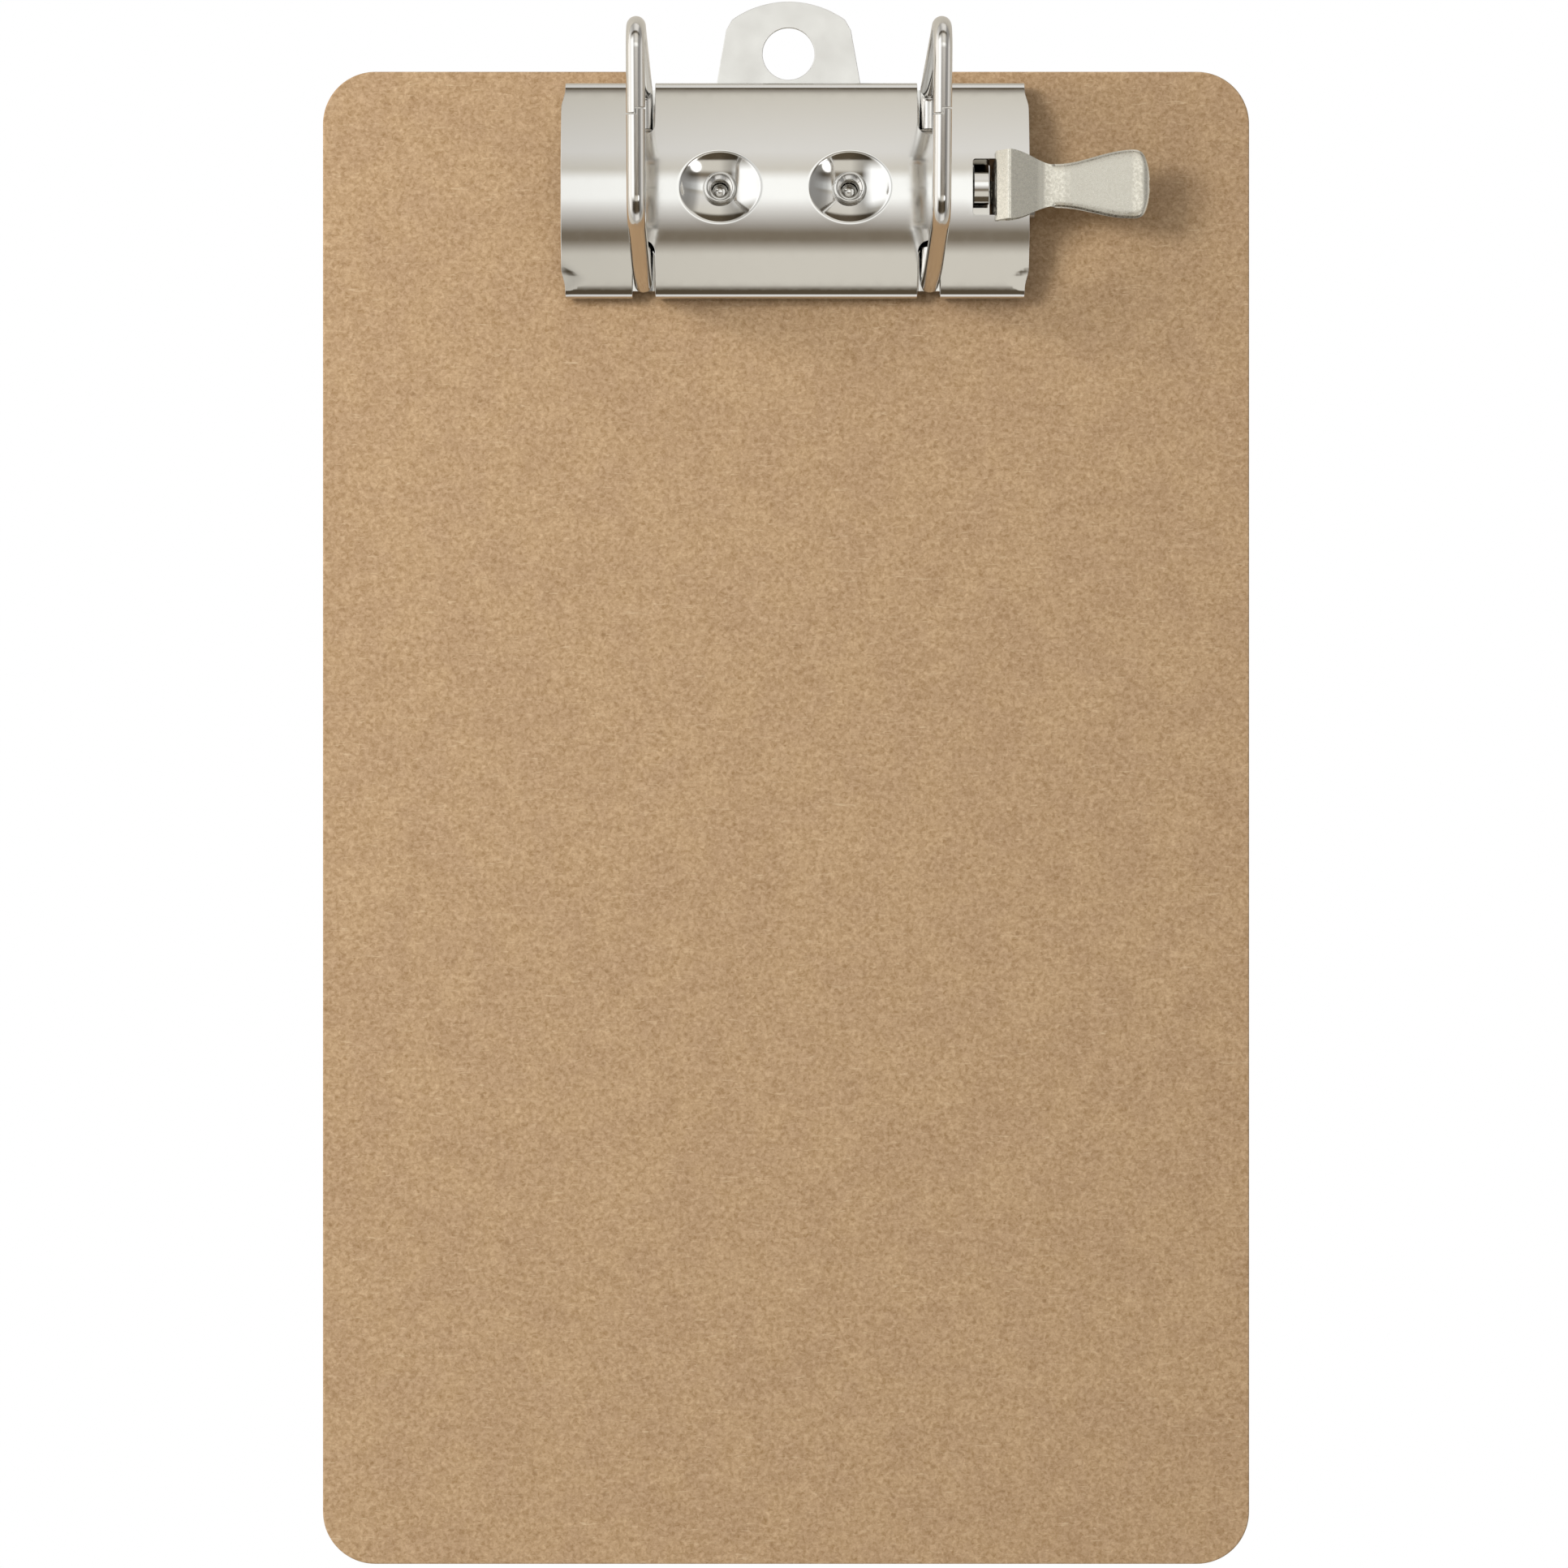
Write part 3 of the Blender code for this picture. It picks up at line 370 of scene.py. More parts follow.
# Rolling leaves faint lines along the strip, and plating leaves it slightly cloudy.
rolled = add(tree, "ShaderNodeMapping", {
    "Vector": place, "Scale": (1 / (0.25 * MM), 1 / (9 * MM), 1 / (1 * MM)),
})
lines = add(tree, "ShaderNodeTexNoise", {"Vector": rolled.outputs[0], "Scale": 1.0, "Detail": 2.0})
clouds = add(tree, "ShaderNodeTexNoise", {"Vector": place, "Scale": 1 / (7 * MM), "Detail": 3.0})
rough = add(tree, "ShaderNodeMapRange", {
    "Value": clouds.outputs["Fac"], "From Min": 0.3, "From Max": 0.7, "To Min": 0.30, "To Max": 0.42,
})
bump = add(tree, "ShaderNodeBump", {"Strength": 0.12, "Distance": 0.01 * MM, "Height": lines.outputs["Fac"]})
shader = add(tree, "ShaderNodeBsdfPrincipled", {
    "Base Color": linear("#EEEEEB"), "Metallic": 1.0, "Roughness": rough.outputs[0],
    "Normal": bump.outputs[0],
})
add(tree, "ShaderNodeOutputMaterial", {"Surface": shader.outputs["BSDF"]})
tab = piece_from("hanging_tab", tab_mesh, dull_nickel)
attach(tab, "base")
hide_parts("hanger_plate")

# ---------------------------------------------------------------------------------------------
# Cover plate: drawn from 0.9 mm sheet steel. Its long edges are curled under as hinges for the two
# rails, its ends are cropped, two dishes are pressed in for the rivets, and it is pierced for the
# four arch legs and the lever. Then it is buffed and bright nickel plated, so it is nearly a mirror.
# ---------------------------------------------------------------------------------------------
SHEET = 0.9 * MM
CROWN_RADIUS = 76.1 * MM
CROWN_TOP_Z = 12.6 * MM
HOOD_RADIUS = 2.6 * MM
HOOD_ANGLE = math.radians(52)
CURL_BEND_RADIUS = 0.6 * MM
CURL_TAIL = 1.2 * MM
HINGE_INSET = 2.0 * MM
HINGE_Z = 6.5 * MM
SLOT_HALF_WIDTH = 2.8 * MM
SLOT_INNER_END = 12.9 * MM
ARCH_X = 34.925 * MM
WINDOW = (45.5 * MM, 54.7 * MM, 6.8 * MM)
WINDOW_CORNER = 0.7 * MM
DISH_HALF_LENGTH = 10.15 * MM
DISH_HALF_WIDTH = 8.8 * MM
DISH_DEPTH = 2.5 * MM
DISH_LIP = 0.16 * MM
END_SLANT = 0.9 * MM
END_SLANT_START_Y = 19.5 * MM
END_SLANT_RUN = 5.0 * MM
GRID_STEP = 1.0 * MM
CROWN_STEP = 0.85 * MM
CURL_STEP = 0.2 * MM
CURL_LEAD = 1.2 * MM
RIM_EASING = 0.13 * MM

half_width = (cover_high.y - cover_low.y) / 2
hinge_y = half_width - HINGE_INSET
crown_top = CROWN_TOP_Z - SHEET / 2
crown_centre_z = crown_top - CROWN_RADIUS
hood_across = math.sin(HOOD_ANGLE) * (HOOD_RADIUS - CURL_BEND_RADIUS) + CURL_BEND_RADIUS
crown_half_angle = math.asin((half_width - SHEET / 2 - hood_across) / (CROWN_RADIUS - HOOD_RADIUS))


def rear_half_section():
    """Runs of the sheet's middle line from the crown's top line to the rear tail: each is its length
    and the radius it turns at, or None where it is straight."""
    hood_turn = HOOD_ANGLE - crown_half_angle
    hood_drop = (CROWN_RADIUS - HOOD_RADIUS) * math.cos(crown_half_angle)
    hood_drop += (HOOD_RADIUS - CURL_BEND_RADIUS) * math.cos(HOOD_ANGLE)
    wall = crown_centre_z + hood_drop - (cover_low.z + SHEET / 2 + CURL_BEND_RADIUS)
    return [
        (CROWN_RADIUS * crown_half_angle, CROWN_RADIUS),
        (HOOD_RADIUS * hood_turn, HOOD_RADIUS),
        (CURL_BEND_RADIUS * (math.pi / 2 - HOOD_ANGLE), CURL_BEND_RADIUS),
        (wall, None),
        (CURL_BEND_RADIUS * math.pi / 2, CURL_BEND_RADIUS),
        (CURL_TAIL, None),
    ]


runs = rear_half_section()
crown_reach = runs[0][0]
sheet_reach = sum(length for length, _ in runs)


def across(y):
    """Distance over the crown, from its top line to the line at y."""
    return CROWN_RADIUS * math.asin(y / CROWN_RADIUS)


def section_point(v):
    """(Y from the middle, Z) of the sheet's middle line, at the distance v over crown and curl."""
    y, z, heading, left = 0.0, crown_top, 0.0, abs(v)
    for length, radius in runs:
        step = min(left, length)
        if radius is None:
            y += step * math.cos(heading)
            z -= step * math.sin(heading)
        else:
            turn = step / radius
            y += radius * (math.sin(heading + turn) - math.sin(heading))
            z -= radius * (math.cos(heading) - math.cos(heading + turn))
            heading += turn
        left -= step
        if left <= 0:
            break
    return math.copysign(y, v), z


def smooth(share):
    """Eases a share from 0 to 1, level at both ends."""
    share = min(1.0, max(0.0, share))
    return share * share * (3 - 2 * share)


def end_inset(v):
    """How far the cropped ends slant in towards the curls."""
    return END_SLANT * smooth((abs(v) - across(END_SLANT_START_Y)) / END_SLANT_RUN)


# A soft crease at each front corner, where the curl's end was pressed shut on the rail. It narrows
# and fades along the plate.
CREASE_Y = -21.6 * MM
CREASE_HALF_WIDTH = 4.6 * MM
CREASE_LENGTH = 5.6 * MM
CREASE_DEPTH = 0.19 * MM


def crease_depth(x, v):
    """How deep the creases are at a point of the sheet."""
    depth = 0.0
    for from_edge in (x - cover_low.x, cover_high.x - x):
        share = 1 - (from_edge - end_inset(v)) / CREASE_LENGTH
        if share <= 0:
            continue
        off = abs(v - across(CREASE_Y)) / (CREASE_HALF_WIDTH * share)
        if off < 1:
            depth += CREASE_DEPTH * smooth(share) * (1 - off**2) ** 2
    return depth


# Past this level of its ellipse, where its rim is at 1, a dish no longer bends the sheet.
DISH_LAST_LEVEL = 1.6


def dished(x, y, z):
    """The crown's height after pressing: each dish is a shallow bowl with a tightly rounded lip."""
    for centre_x in rivet_x:
        level = ((x - centre_x) / DISH_HALF_LENGTH) ** 2 + (y / DISH_HALF_WIDTH) ** 2
        if level > DISH_LAST_LEVEL:
            continue
        edge_drop = CROWN_RADIUS - math.sqrt(CROWN_RADIUS**2 - min(DISH_HALF_WIDTH, abs(y)) ** 2)
        bowl = crown_top - DISH_DEPTH * (1 - level) - edge_drop
        apart = abs(bowl - z)
        blend = max(DISH_LIP - apart, 0.0) / DISH_LIP
        return min(bowl, z) - blend * blend * DISH_LIP / 4
    return z


# The sheet's slope is taken over twice this distance.
PROBE = 0.1 * MM


def sheet_point(x, v):
    """The place of a point of the flat sheet once it is rolled, dished and creased."""
    y, z = section_point(v)
    z = dished(x, y, z)
    depth = crease_depth(x, v)
    if depth:
        lower = section_point(v - PROBE)
        upper = section_point(v + PROBE)
        normal = Vector((-(upper[1] - lower[1]), upper[0] - lower[0])).normalized()
        y -= depth * normal.x
        z -= depth * normal.y
    return Vector((x, middle_y + y, z))


def levels(low, high, step):
    """Even levels from low to high, about a step apart."""
    count = max(1, round((high - low) / step))
    return [low + (high - low) * at / count for at in range(count + 1)]


curl_levels = levels(crown_reach - CURL_LEAD, sheet_reach, CURL_STEP)
crown_levels = levels(-curl_levels[0], curl_levels[0], CROWN_STEP)
rows = [-v for v in reversed(curl_levels)] + crown_levels[1:-1] + curl_levels
columns = levels(cover_low.x, cover_high.x, GRID_STEP)


def end_edge(end):
    """The cropped end, from the front edge to the rear one."""
    x = cover_high.x if end > 0 else cover_low.x
    return [(x - end * end_inset(v), v) for v in rows]


def edge_with_slots(side):
    """The sheet's long edge from left to right, with its two slots."""
    points = []
    for centre_x in (-ARCH_X, ARCH_X):
        centre = (centre_x, side * (SLOT_INNER_END + SLOT_HALF_WIDTH))
        rounds = arc(centre, SLOT_HALF_WIDTH, 180, 0 if side < 0 else 360, 28)
        straight = [v for v in rows if abs(v) > across(abs(centre[1])) + 0.1 * MM and v * side > 0]
        straight.sort(key=abs)
        left = [(centre_x - SLOT_HALF_WIDTH, v) for v in reversed(straight)]
        right = [(centre_x + SLOT_HALF_WIDTH, v) for v in straight]
        points += left + [(x, across(y)) for x, y in rounds] + right
    filled = []
    for x in columns:
        if cover_low.x + 2 * END_SLANT < x < cover_high.x - 2 * END_SLANT:
            if min(abs(x - ARCH_X), abs(x + ARCH_X)) > SLOT_HALF_WIDTH + 0.2 * MM:
                filled.append((x, side * sheet_reach))
    first = [p for p in filled if p[0] < -ARCH_X]
    between = [p for p in filled if abs(p[0]) < ARCH_X]
    last = [p for p in filled if p[0] > ARCH_X]
    half = len(points) // 2
    return first + points[:half] + between + points[half:] + last


outer = edge_with_slots(-1) + end_edge(1)
outer += list(reversed(edge_with_slots(1))) + list(reversed(end_edge(-1)))
window_left, window_right, window_half = WINDOW
window_ring = []
for sx, sy, start in ((1, 1, 0), (-1, 1, 90), (-1, -1, 180), (1, -1, 270)):
    x = (window_right if sx > 0 else window_left) - sx * WINDOW_CORNER
    window_ring += arc((x, sy * (window_half - WINDOW_CORNER)), WINDOW_CORNER, start, start + 90, 6)
window_ring = [(x, across(y)) for x, y in window_ring]

points, edges, loops = [], [], []


def add_loop(loop):
    """Takes a closed outline into the sheet's points, edges and loops."""
    first = len(points)
    points.extend(Vector(p) for p in loop)
    edges.extend((first + at, first + (at + 1) % len(loop)) for at in range(len(loop)))
    loops.append([(p[0], p[1]) for p in loop])


add_loop(outer)
add_loop(window_ring)
# Rings from each rivet hole to just past its dish, closest where the lip bends.
DISH_SPOKES = 112
DISH_GRID_SPREAD = 1.09
rings = [0.0, 0.12, 0.24, 0.36, 0.47, 0.57, 0.66, 0.73, 0.78, 0.815]
rings += [0.84 + 0.0115 * step for step in range(14)]
rings[-1] = 1.0
for centre_x in rivet_x:
    for share in rings:
        ring = []
        for spoke in range(DISH_SPOKES):
            angle = 2 * math.pi * (spoke + 0.5 * (rings.index(share) % 2)) / DISH_SPOKES
            reach_x = (1 - share) * RIVET_HOLE_RADIUS + share * DISH_HALF_LENGTH * DISH_GRID_SPREAD
            reach_y = (1 - share) * RIVET_HOLE_RADIUS + share * DISH_HALF_WIDTH * DISH_GRID_SPREAD
            x = reach_x * math.cos(angle)
            y = reach_y * math.sin(angle)
            ring.append((centre_x + x, across(y)))
        if share == 0.0:
            add_loop(ring)
        else:
            points.extend(Vector(p) for p in ring)


GRID_CLEARANCE = 0.4 * MM
CUT_CLEARANCE = 1.2 * MM


def clear_of_outlines(x, v, margin):
    """True for a grid point that lies on the sheet and not right beside a cut edge."""
    if not cover_low.x + end_inset(v) + margin < x < cover_high.x - end_inset(v) - margin:
        return False
    if abs(v) > sheet_reach - 0.02 * MM:
        return False
    half_length = DISH_HALF_LENGTH * DISH_GRID_SPREAD + margin
    half_across = DISH_HALF_WIDTH * DISH_GRID_SPREAD + margin
    for centre_x in rivet_x:
        if ((x - centre_x) / half_length) ** 2 + (v / half_across) ** 2 < 1:
            return False
    if window_left - margin < x < window_right + margin and abs(v) < window_half + margin:
        return False
    for centre_x in (-ARCH_X, ARCH_X):
        start = SLOT_INNER_END + SLOT_HALF_WIDTH
        if abs(v) < start:
            if math.hypot(x - centre_x, abs(v) - start) < SLOT_HALF_WIDTH + margin:
                return False
        elif abs(x - centre_x) < SLOT_HALF_WIDTH + margin:
            return False
    return True


for x in columns:
    for v in rows:
        if clear_of_outlines(x, v, GRID_CLEARANCE):
            points.append(Vector((x, v)))

# The flat sheet is triangulated in millimetres and brought back to metres.
SCALE_UP = 1000.0
MEETING_TOLERANCE = 1e-5
scaled_points = [p * SCALE_UP for p in points]
flat_points, _, flat_faces, *_ = delaunay_2d_cdt(scaled_points, edges, [], 0, MEETING_TOLERANCE)


def inside(x, v):
    """Even-odd test against the sheet's outline and its holes."""
    crossings = 0
    for loop in loops:
        for (x0, v0), (x1, v1) in zip(loop, loop[1:] + loop[:1]):
            if (v0 > v) != (v1 > v) and x < x0 + (x1 - x0) * (v - v0) / (v1 - v0):
                crossings += 1
    return crossings % 2 == 1


flat_points = [p / SCALE_UP for p in flat_points]
worked = bmesh.new()
placed = [worked.verts.new(sheet_point(p.x, p.y)) for p in flat_points]
for face in flat_faces:
    centre = sum((flat_points[at] for at in face), Vector((0.0, 0.0))) / len(face)
    near_cut = not clear_of_outlines(centre.x, centre.y, CUT_CLEARANCE)
    if near_cut and not inside(centre.x, centre.y):
        continue
    worked.faces.new([placed[at] for at in face])
loose = [v for v in worked.verts if not v.link_faces]
bmesh.ops.delete(worked, geom=loose, context="VERTS")
bmesh.ops.recalc_face_normals(worked, faces=worked.faces)
if sum(face.normal.z for face in worked.faces) < 0:
    bmesh.ops.reverse_faces(worked, faces=worked.faces)
cover_mesh = bpy.data.meshes.new("cover_plate_shell")
worked.to_mesh(cover_mesh)
worked.free()
cover_mesh.shade_smooth()

bright_nickel, tree = new_material("Buffed bright nickel plate on sheet steel")
place = add(tree, "ShaderNodeTexCoord").outputs["Object"]
# Buffing leaves a very slight ripple some millimetres long, and a haze in places.
ripple = add(tree, "ShaderNodeTexNoise", {"Vector": place, "Scale": 1 / (6 * MM), "Detail": 1.0})
haze = add(tree, "ShaderNodeTexNoise", {
    "Vector": place, "Scale": 1 / (3 * MM), "Detail": 4.0, "Roughness": 0.6,
})
rough = add(tree, "ShaderNodeMapRange", {
    "Value": haze.outputs["Fac"], "From Min": 0.3, "From Max": 0.75, "To Min": 0.05, "To Max": 0.10,
})
bump = add(tree, "ShaderNodeBump", {"Strength": 0.15, "Distance": 0.02 * MM, "Height": ripple.outputs["Fac"]})
shader = add(tree, "ShaderNodeBsdfPrincipled", {
    "Base Color": linear("#DCDBD8"), "Metallic": 1.0, "Roughness": rough.outputs[0],
    "Normal": bump.outputs[0],
})
add(tree, "ShaderNodeOutputMaterial", {"Surface": shader.outputs["BSDF"]})


def give_wall(piece, thickness, even):
    """Thickens a sheet's middle surface to both sides."""
    wall = piece.modifiers.new("wall", "SOLIDIFY")
    wall.thickness = thickness
    wall.offset = 0.0
    wall.use_even_offset = even


def ease_edges(piece, width, segments):
    """Takes the sharpness off a piece's cut edges."""
    easing = piece.modifiers.new("easing", "BEVEL")
    easing.width = width
    easing.segments = segments
    easing.limit_method = "ANGLE"
    easing.angle_limit = math.radians(50)
    easing.harden_normals = True


cover = piece_from("cover_plate_shell", cover_mesh, bright_nickel)
give_wall(cover, SHEET, True)
ease_edges(cover, RIM_EASING, 2)
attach(cover, "base")
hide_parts("cover_plate")

# ---------------------------------------------------------------------------------------------
# Rivets: two tubular rivets of nickel-plated steel. Each is set from above, its rolled head in the
# dish and its end clenched over a washer in the board's back, with a bare steel collar between.
# ---------------------------------------------------------------------------------------------
rivet_low, rivet_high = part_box("left_rivet")
LIP_RADIUS = 3.85 * MM
LIP_ROLL = 0.42 * MM
SHANK_RADIUS = 2.6 * MM
BORE_RADIUS = 2.05 * MM
FUNNEL_DEPTH = 1.1 * MM
PLUG_TOP_Z = 6.6 * MM
FUNNEL_ROUNDING = 0.5 * MM
HEAD_DEPTH = 1.1 * MM
HEAD_STEP = 0.1 * MM
PLUG_DOME = 1.3 * MM
CLENCH_RADIUS = 3.9 * MM
CLENCH_ROUNDING = 0.2 * MM
CLENCH_GAP = 0.1 * MM

washer_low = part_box("left_washer")[0].z
lip = (LIP_RADIUS - LIP_ROLL, rivet_high.z - LIP_ROLL)
profile = [(0.0, rivet_low.z)]
clench_round = (CLENCH_RADIUS - CLENCH_ROUNDING, rivet_low.z + CLENCH_ROUNDING)
profile += arc(clench_round, CLENCH_ROUNDING, -90, 0, 4)
profile += [
    (CLENCH_RADIUS, washer_low - CLENCH_GAP),
    (SHANK_RADIUS, washer_low - CLENCH_GAP / 2),
    (SHANK_RADIUS, lip[1] - HEAD_DEPTH),
    (lip[0] + HEAD_STEP, lip[1] - LIP_ROLL),
]
profile += arc(lip, LIP_ROLL, -60, 190, 16)
profile += arc((BORE_RADIUS + FUNNEL_ROUNDING, lip[1] - FUNNEL_DEPTH), FUNNEL_ROUNDING, 130, 180, 4)
# The blind end of the bore is a low dome, whose outline is a quarter of an ellipse.
dome_angles = [math.radians(9 * step) for step in range(11)]
profile += [(BORE_RADIUS * math.cos(a), PLUG_TOP_Z - PLUG_DOME * (1 - math.sin(a))) for a in dome_angles]
pattern_rivet = turned("rivet_pattern", profile, bright_nickel, 64)

rivet_set = bpy.data.node_groups.new("Rivets at a pitch", "GeometryNodeTree")
sockets = {}
for name, kind in (
    ("Geometry", "NodeSocketGeometry"), ("First", "NodeSocketVector"),
    ("Pitch", "NodeSocketFloat"), ("Count", "NodeSocketInt"), ("Finish", "NodeSocketMaterial"),
):
    sockets[name] = rivet_set.interface.new_socket(name, in_out="INPUT", socket_type=kind).identifier
rivet_set.interface.new_socket("Geometry", in_out="OUTPUT", socket_type="NodeSocketGeometry")
given = add(rivet_set, "NodeGroupInput").outputs
step_along = add(rivet_set, "ShaderNodeCombineXYZ", {"X": given["Pitch"]})
line = add(rivet_set, "GeometryNodeMeshLine", {
    "Count": given["Count"], "Start Location": given["First"], "Offset": step_along.outputs[0],
})
copies = add(rivet_set, "GeometryNodeInstanceOnPoints", {
    "Points": line.outputs[0], "Instance": given["Geometry"],
})
real = add(rivet_set, "GeometryNodeRealizeInstances", {0: copies.outputs[0]})
finished = add(rivet_set, "GeometryNodeSetMaterial", {
    "Geometry": real.outputs[0], "Material": given["Finish"],
})
add(rivet_set, "NodeGroupOutput", {0: finished.outputs[0]})

setting = pattern_rivet.modifiers.new("pair", "NODES")
setting.node_group = rivet_set
setting[sockets["First"]] = (rivet_x[0], middle_y, 0.0)
setting[sockets["Pitch"]] = rivet_x[1] - rivet_x[0]
setting[sockets["Count"]] = 2
setting[sockets["Finish"]] = bright_nickel
rivet_mesh = evaluated_mesh(pattern_rivet)
bpy.data.objects.remove(pattern_rivet)
rivet_mesh.set_sharp_from_angle(angle=TURNED_SHARP_ANGLE)
rivets = piece_from("tubular_rivets", rivet_mesh, bright_nickel)
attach(rivets, "base")
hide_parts("left_rivet", "right_rivet")

bare_steel, tree = new_material("Bare cold-rolled steel, lightly oiled")
place = add(tree, "ShaderNodeTexCoord").outputs["Object"]
mottle = add(tree, "ShaderNodeTexNoise", {
    "Vector": place, "Scale": 1 / (2.5 * MM), "Detail": 4.0, "Roughness": 0.65,
})
tone = add(tree, "ShaderNodeMix", {
    0: mottle.outputs["Fac"], 6: linear("#A8A5A0"), 7: linear("#C9C6C0"),
}, data_type="RGBA")
rough = add(tree, "ShaderNodeMapRange", {"Value": mottle.outputs["Fac"], "To Min": 0.25, "To Max": 0.5})
shader = add(tree, "ShaderNodeBsdfPrincipled", {
    "Base Color": tone.outputs[2], "Metallic": 1.0, "Roughness": rough.outputs[0],
})
add(tree, "ShaderNodeOutputMaterial", {"Surface": shader.outputs["BSDF"]})
for name in ("left_spacer", "right_spacer", "left_washer", "right_washer", "lever_pin", "lever_bracket"):
    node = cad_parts[name]
    node.data.materials.clear()
    node.data.materials.append(bare_steel)

# ---------------------------------------------------------------------------------------------
# Rails: two flat steel strips that hinge in the cover's curls and press edge to edge under its
# middle. They carry the arches, and are plated with them.
# ---------------------------------------------------------------------------------------------
for name in ("front_rail", "rear_rail"):
    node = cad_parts[name]
    node.data.materials.clear()
    node.data.materials.append(bright_nickel)

# The rear rail's end is pressed up into a small crowned tongue, which shows in the window.
TONGUE_X = (46.0 * MM, 49.7 * MM)
TONGUE_FRONT = -3.4 * MM
TONGUE_REAR = 6.1 * MM
TONGUE_RADIUS = 9.0 * MM
TONGUE_SHEET = 0.8 * MM
TONGUE_EASING = 0.15 * MM
rail_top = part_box("rear_rail")[1].z
tongue_turn = math.degrees(math.asin((TONGUE_REAR - TONGUE_FRONT) / 2 / TONGUE_RADIUS))
sunk = TONGUE_RADIUS * math.cos(math.radians(tongue_turn))
tongue_centre = (middle_y + (TONGUE_FRONT + TONGUE_REAR) / 2, rail_top - sunk + TONGUE_SHEET / 2)
tongue_line = arc(tongue_centre, TONGUE_RADIUS, 90 - tongue_turn, 90 + tongue_turn, 24)
worked = bmesh.new()
ends = [[worked.verts.new((x, y, z)) for y, z in tongue_line] for x in TONGUE_X]
for at in range(len(tongue_line) - 1):
    worked.faces.new((ends[0][at], ends[1][at], ends[1][at + 1], ends[0][at + 1]))
bmesh.ops.recalc_face_normals(worked, faces=worked.faces)
tongue_mesh = bpy.data.meshes.new("rear_rail_tongue")
worked.to_mesh(tongue_mesh)
worked.free()
tongue_mesh.shade_smooth()
tongue = piece_from("rear_rail_tongue", tongue_mesh, bright_nickel)
give_wall(tongue, TONGUE_SHEET, False)
ease_edges(tongue, TONGUE_EASING, 2)
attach(tongue, "rear_arches")

# ---------------------------------------------------------------------------------------------
# Arches: four lengths of 4.4 mm hard-drawn steel wire, bent cold, welded to the rails by their feet
# and bright nickel plated. Each pair meets in the middle of the arch's top in a half lap.
# ---------------------------------------------------------------------------------------------
WIRE_RADIUS = 2.2 * MM
FOOT_INNER = 14.5 * MM
LEG_BASE = 23.8 * MM
FRONT_KNEE = (-22.6 * MM, 29.2 * MM)
FRONT_CORNER = (-15.6 * MM, 61.5 * MM)
REAR_CORNER = (28.2 * MM, 67.37 * MM)
FOOT_BEND = 3.2 * MM
KNEE_BEND = 90.0 * MM
FRONT_BEND = 7.0 * MM
REAR_BEND = 5.5 * MM
SEAM_LEFT = 7.0 * MM
SEAM_RIGHT = 8.25 * MM
SEAM_GAP = 0.3 * MM
SEAM_BLOCK_REACH = 12.0 * MM
WIRE_SIDES = 40
WIRE_EASING = 0.2 * MM
RAIL_ANGLE = math.radians(3.05)
RAIL_SHEET = 1.0 * MM
FIT_GAP = 0.3 * MM


def rounded_path(corners, radii, step_angle=math.radians(3)):
    """An open path through corners, each inner corner replaced by a tangent arc of its own radius."""
    path = [Vector(corners[0])]
    for index in range(1, len(corners) - 1):
        corner = Vector(corners[index])
        before = (Vector(corners[index - 1]) - corner).normalized()
        after = (Vector(corners[index + 1]) - corner).normalized()
        half_opening = math.acos(before.dot(after)) / 2
        reach = radii[index - 1] / math.tan(half_opening)
        centre = corner + (before + after).normalized() * (radii[index - 1] / math.sin(half_opening))
        first = corner + before * reach - centre
        turn = first.angle_signed(corner + after * reach - centre)
        steps = max(2, math.ceil(abs(turn) / step_angle))
        for step in range(steps + 1):
            path.append(centre + Matrix.Rotation(-turn * step / steps, 2) @ first)
    path.append(Vector(corners[-1]))
    return path


drawn_nickel, tree = new_material("Bright nickel plate on hard-drawn wire")
place = add(tree, "ShaderNodeTexCoord").outputs["Object"]
# The drawing die scores hair lines along the wire; here they run up the legs.
drawn = add(tree, "ShaderNodeMapping", {
    "Vector": place, "Scale": (1 / (0.35 * MM), 1 / (6 * MM), 1 / (9 * MM)),
})
lines = add(tree, "ShaderNodeTexNoise", {"Vector": drawn.outputs[0], "Scale": 1.0, "Detail": 2.0})
rough = add(tree, "ShaderNodeMapRange", {
    "Value": lines.outputs["Fac"], "From Min": 0.3, "From Max": 0.7, "To Min": 0.08, "To Max": 0.2,
})
bump = add(tree, "ShaderNodeBump", {"Strength": 0.1, "Distance": 0.01 * MM, "Height": lines.outputs["Fac"]})
shader = add(tree, "ShaderNodeBsdfPrincipled", {
    "Base Color": linear("#DFDDD9"), "Metallic": 1.0, "Roughness": rough.outputs[0],
    "Normal": bump.outputs[0],
})
add(tree, "ShaderNodeOutputMaterial", {"Surface": shader.outputs["BSDF"]})

wire_form = bpy.data.node_groups.new("Round wire along a path", "GeometryNodeTree")
sockets = {}
for name, kind in (
    ("Geometry", "NodeSocketGeometry"), ("Radius", "NodeSocketFloat"),
    ("Sides", "NodeSocketInt"), ("Finish", "NodeSocketMaterial"),
):
    sockets[name] = wire_form.interface.new_socket(name, in_out="INPUT", socket_type=kind).identifier
wire_form.interface.new_socket("Geometry", in_out="OUTPUT", socket_type="NodeSocketGeometry")
given = add(wire_form, "NodeGroupInput").outputs
ring = add(wire_form, "GeometryNodeCurvePrimitiveCircle", {
    "Resolution": given["Sides"], "Radius": given["Radius"],
})
tube = add(wire_form, "GeometryNodeCurveToMesh", {
    "Curve": given["Geometry"], "Profile Curve": ring.outputs[0], "Fill Caps": True,
})
rounded = add(wire_form, "GeometryNodeSetShadeSmooth", {0: tube.outputs[0]})
real = add(wire_form, "GeometryNodeRealizeInstances", {0: rounded.outputs[0]})
finished = add(wire_form, "GeometryNodeSetMaterial", {
    "Geometry": real.outputs[0], "Material": given["Finish"],
})
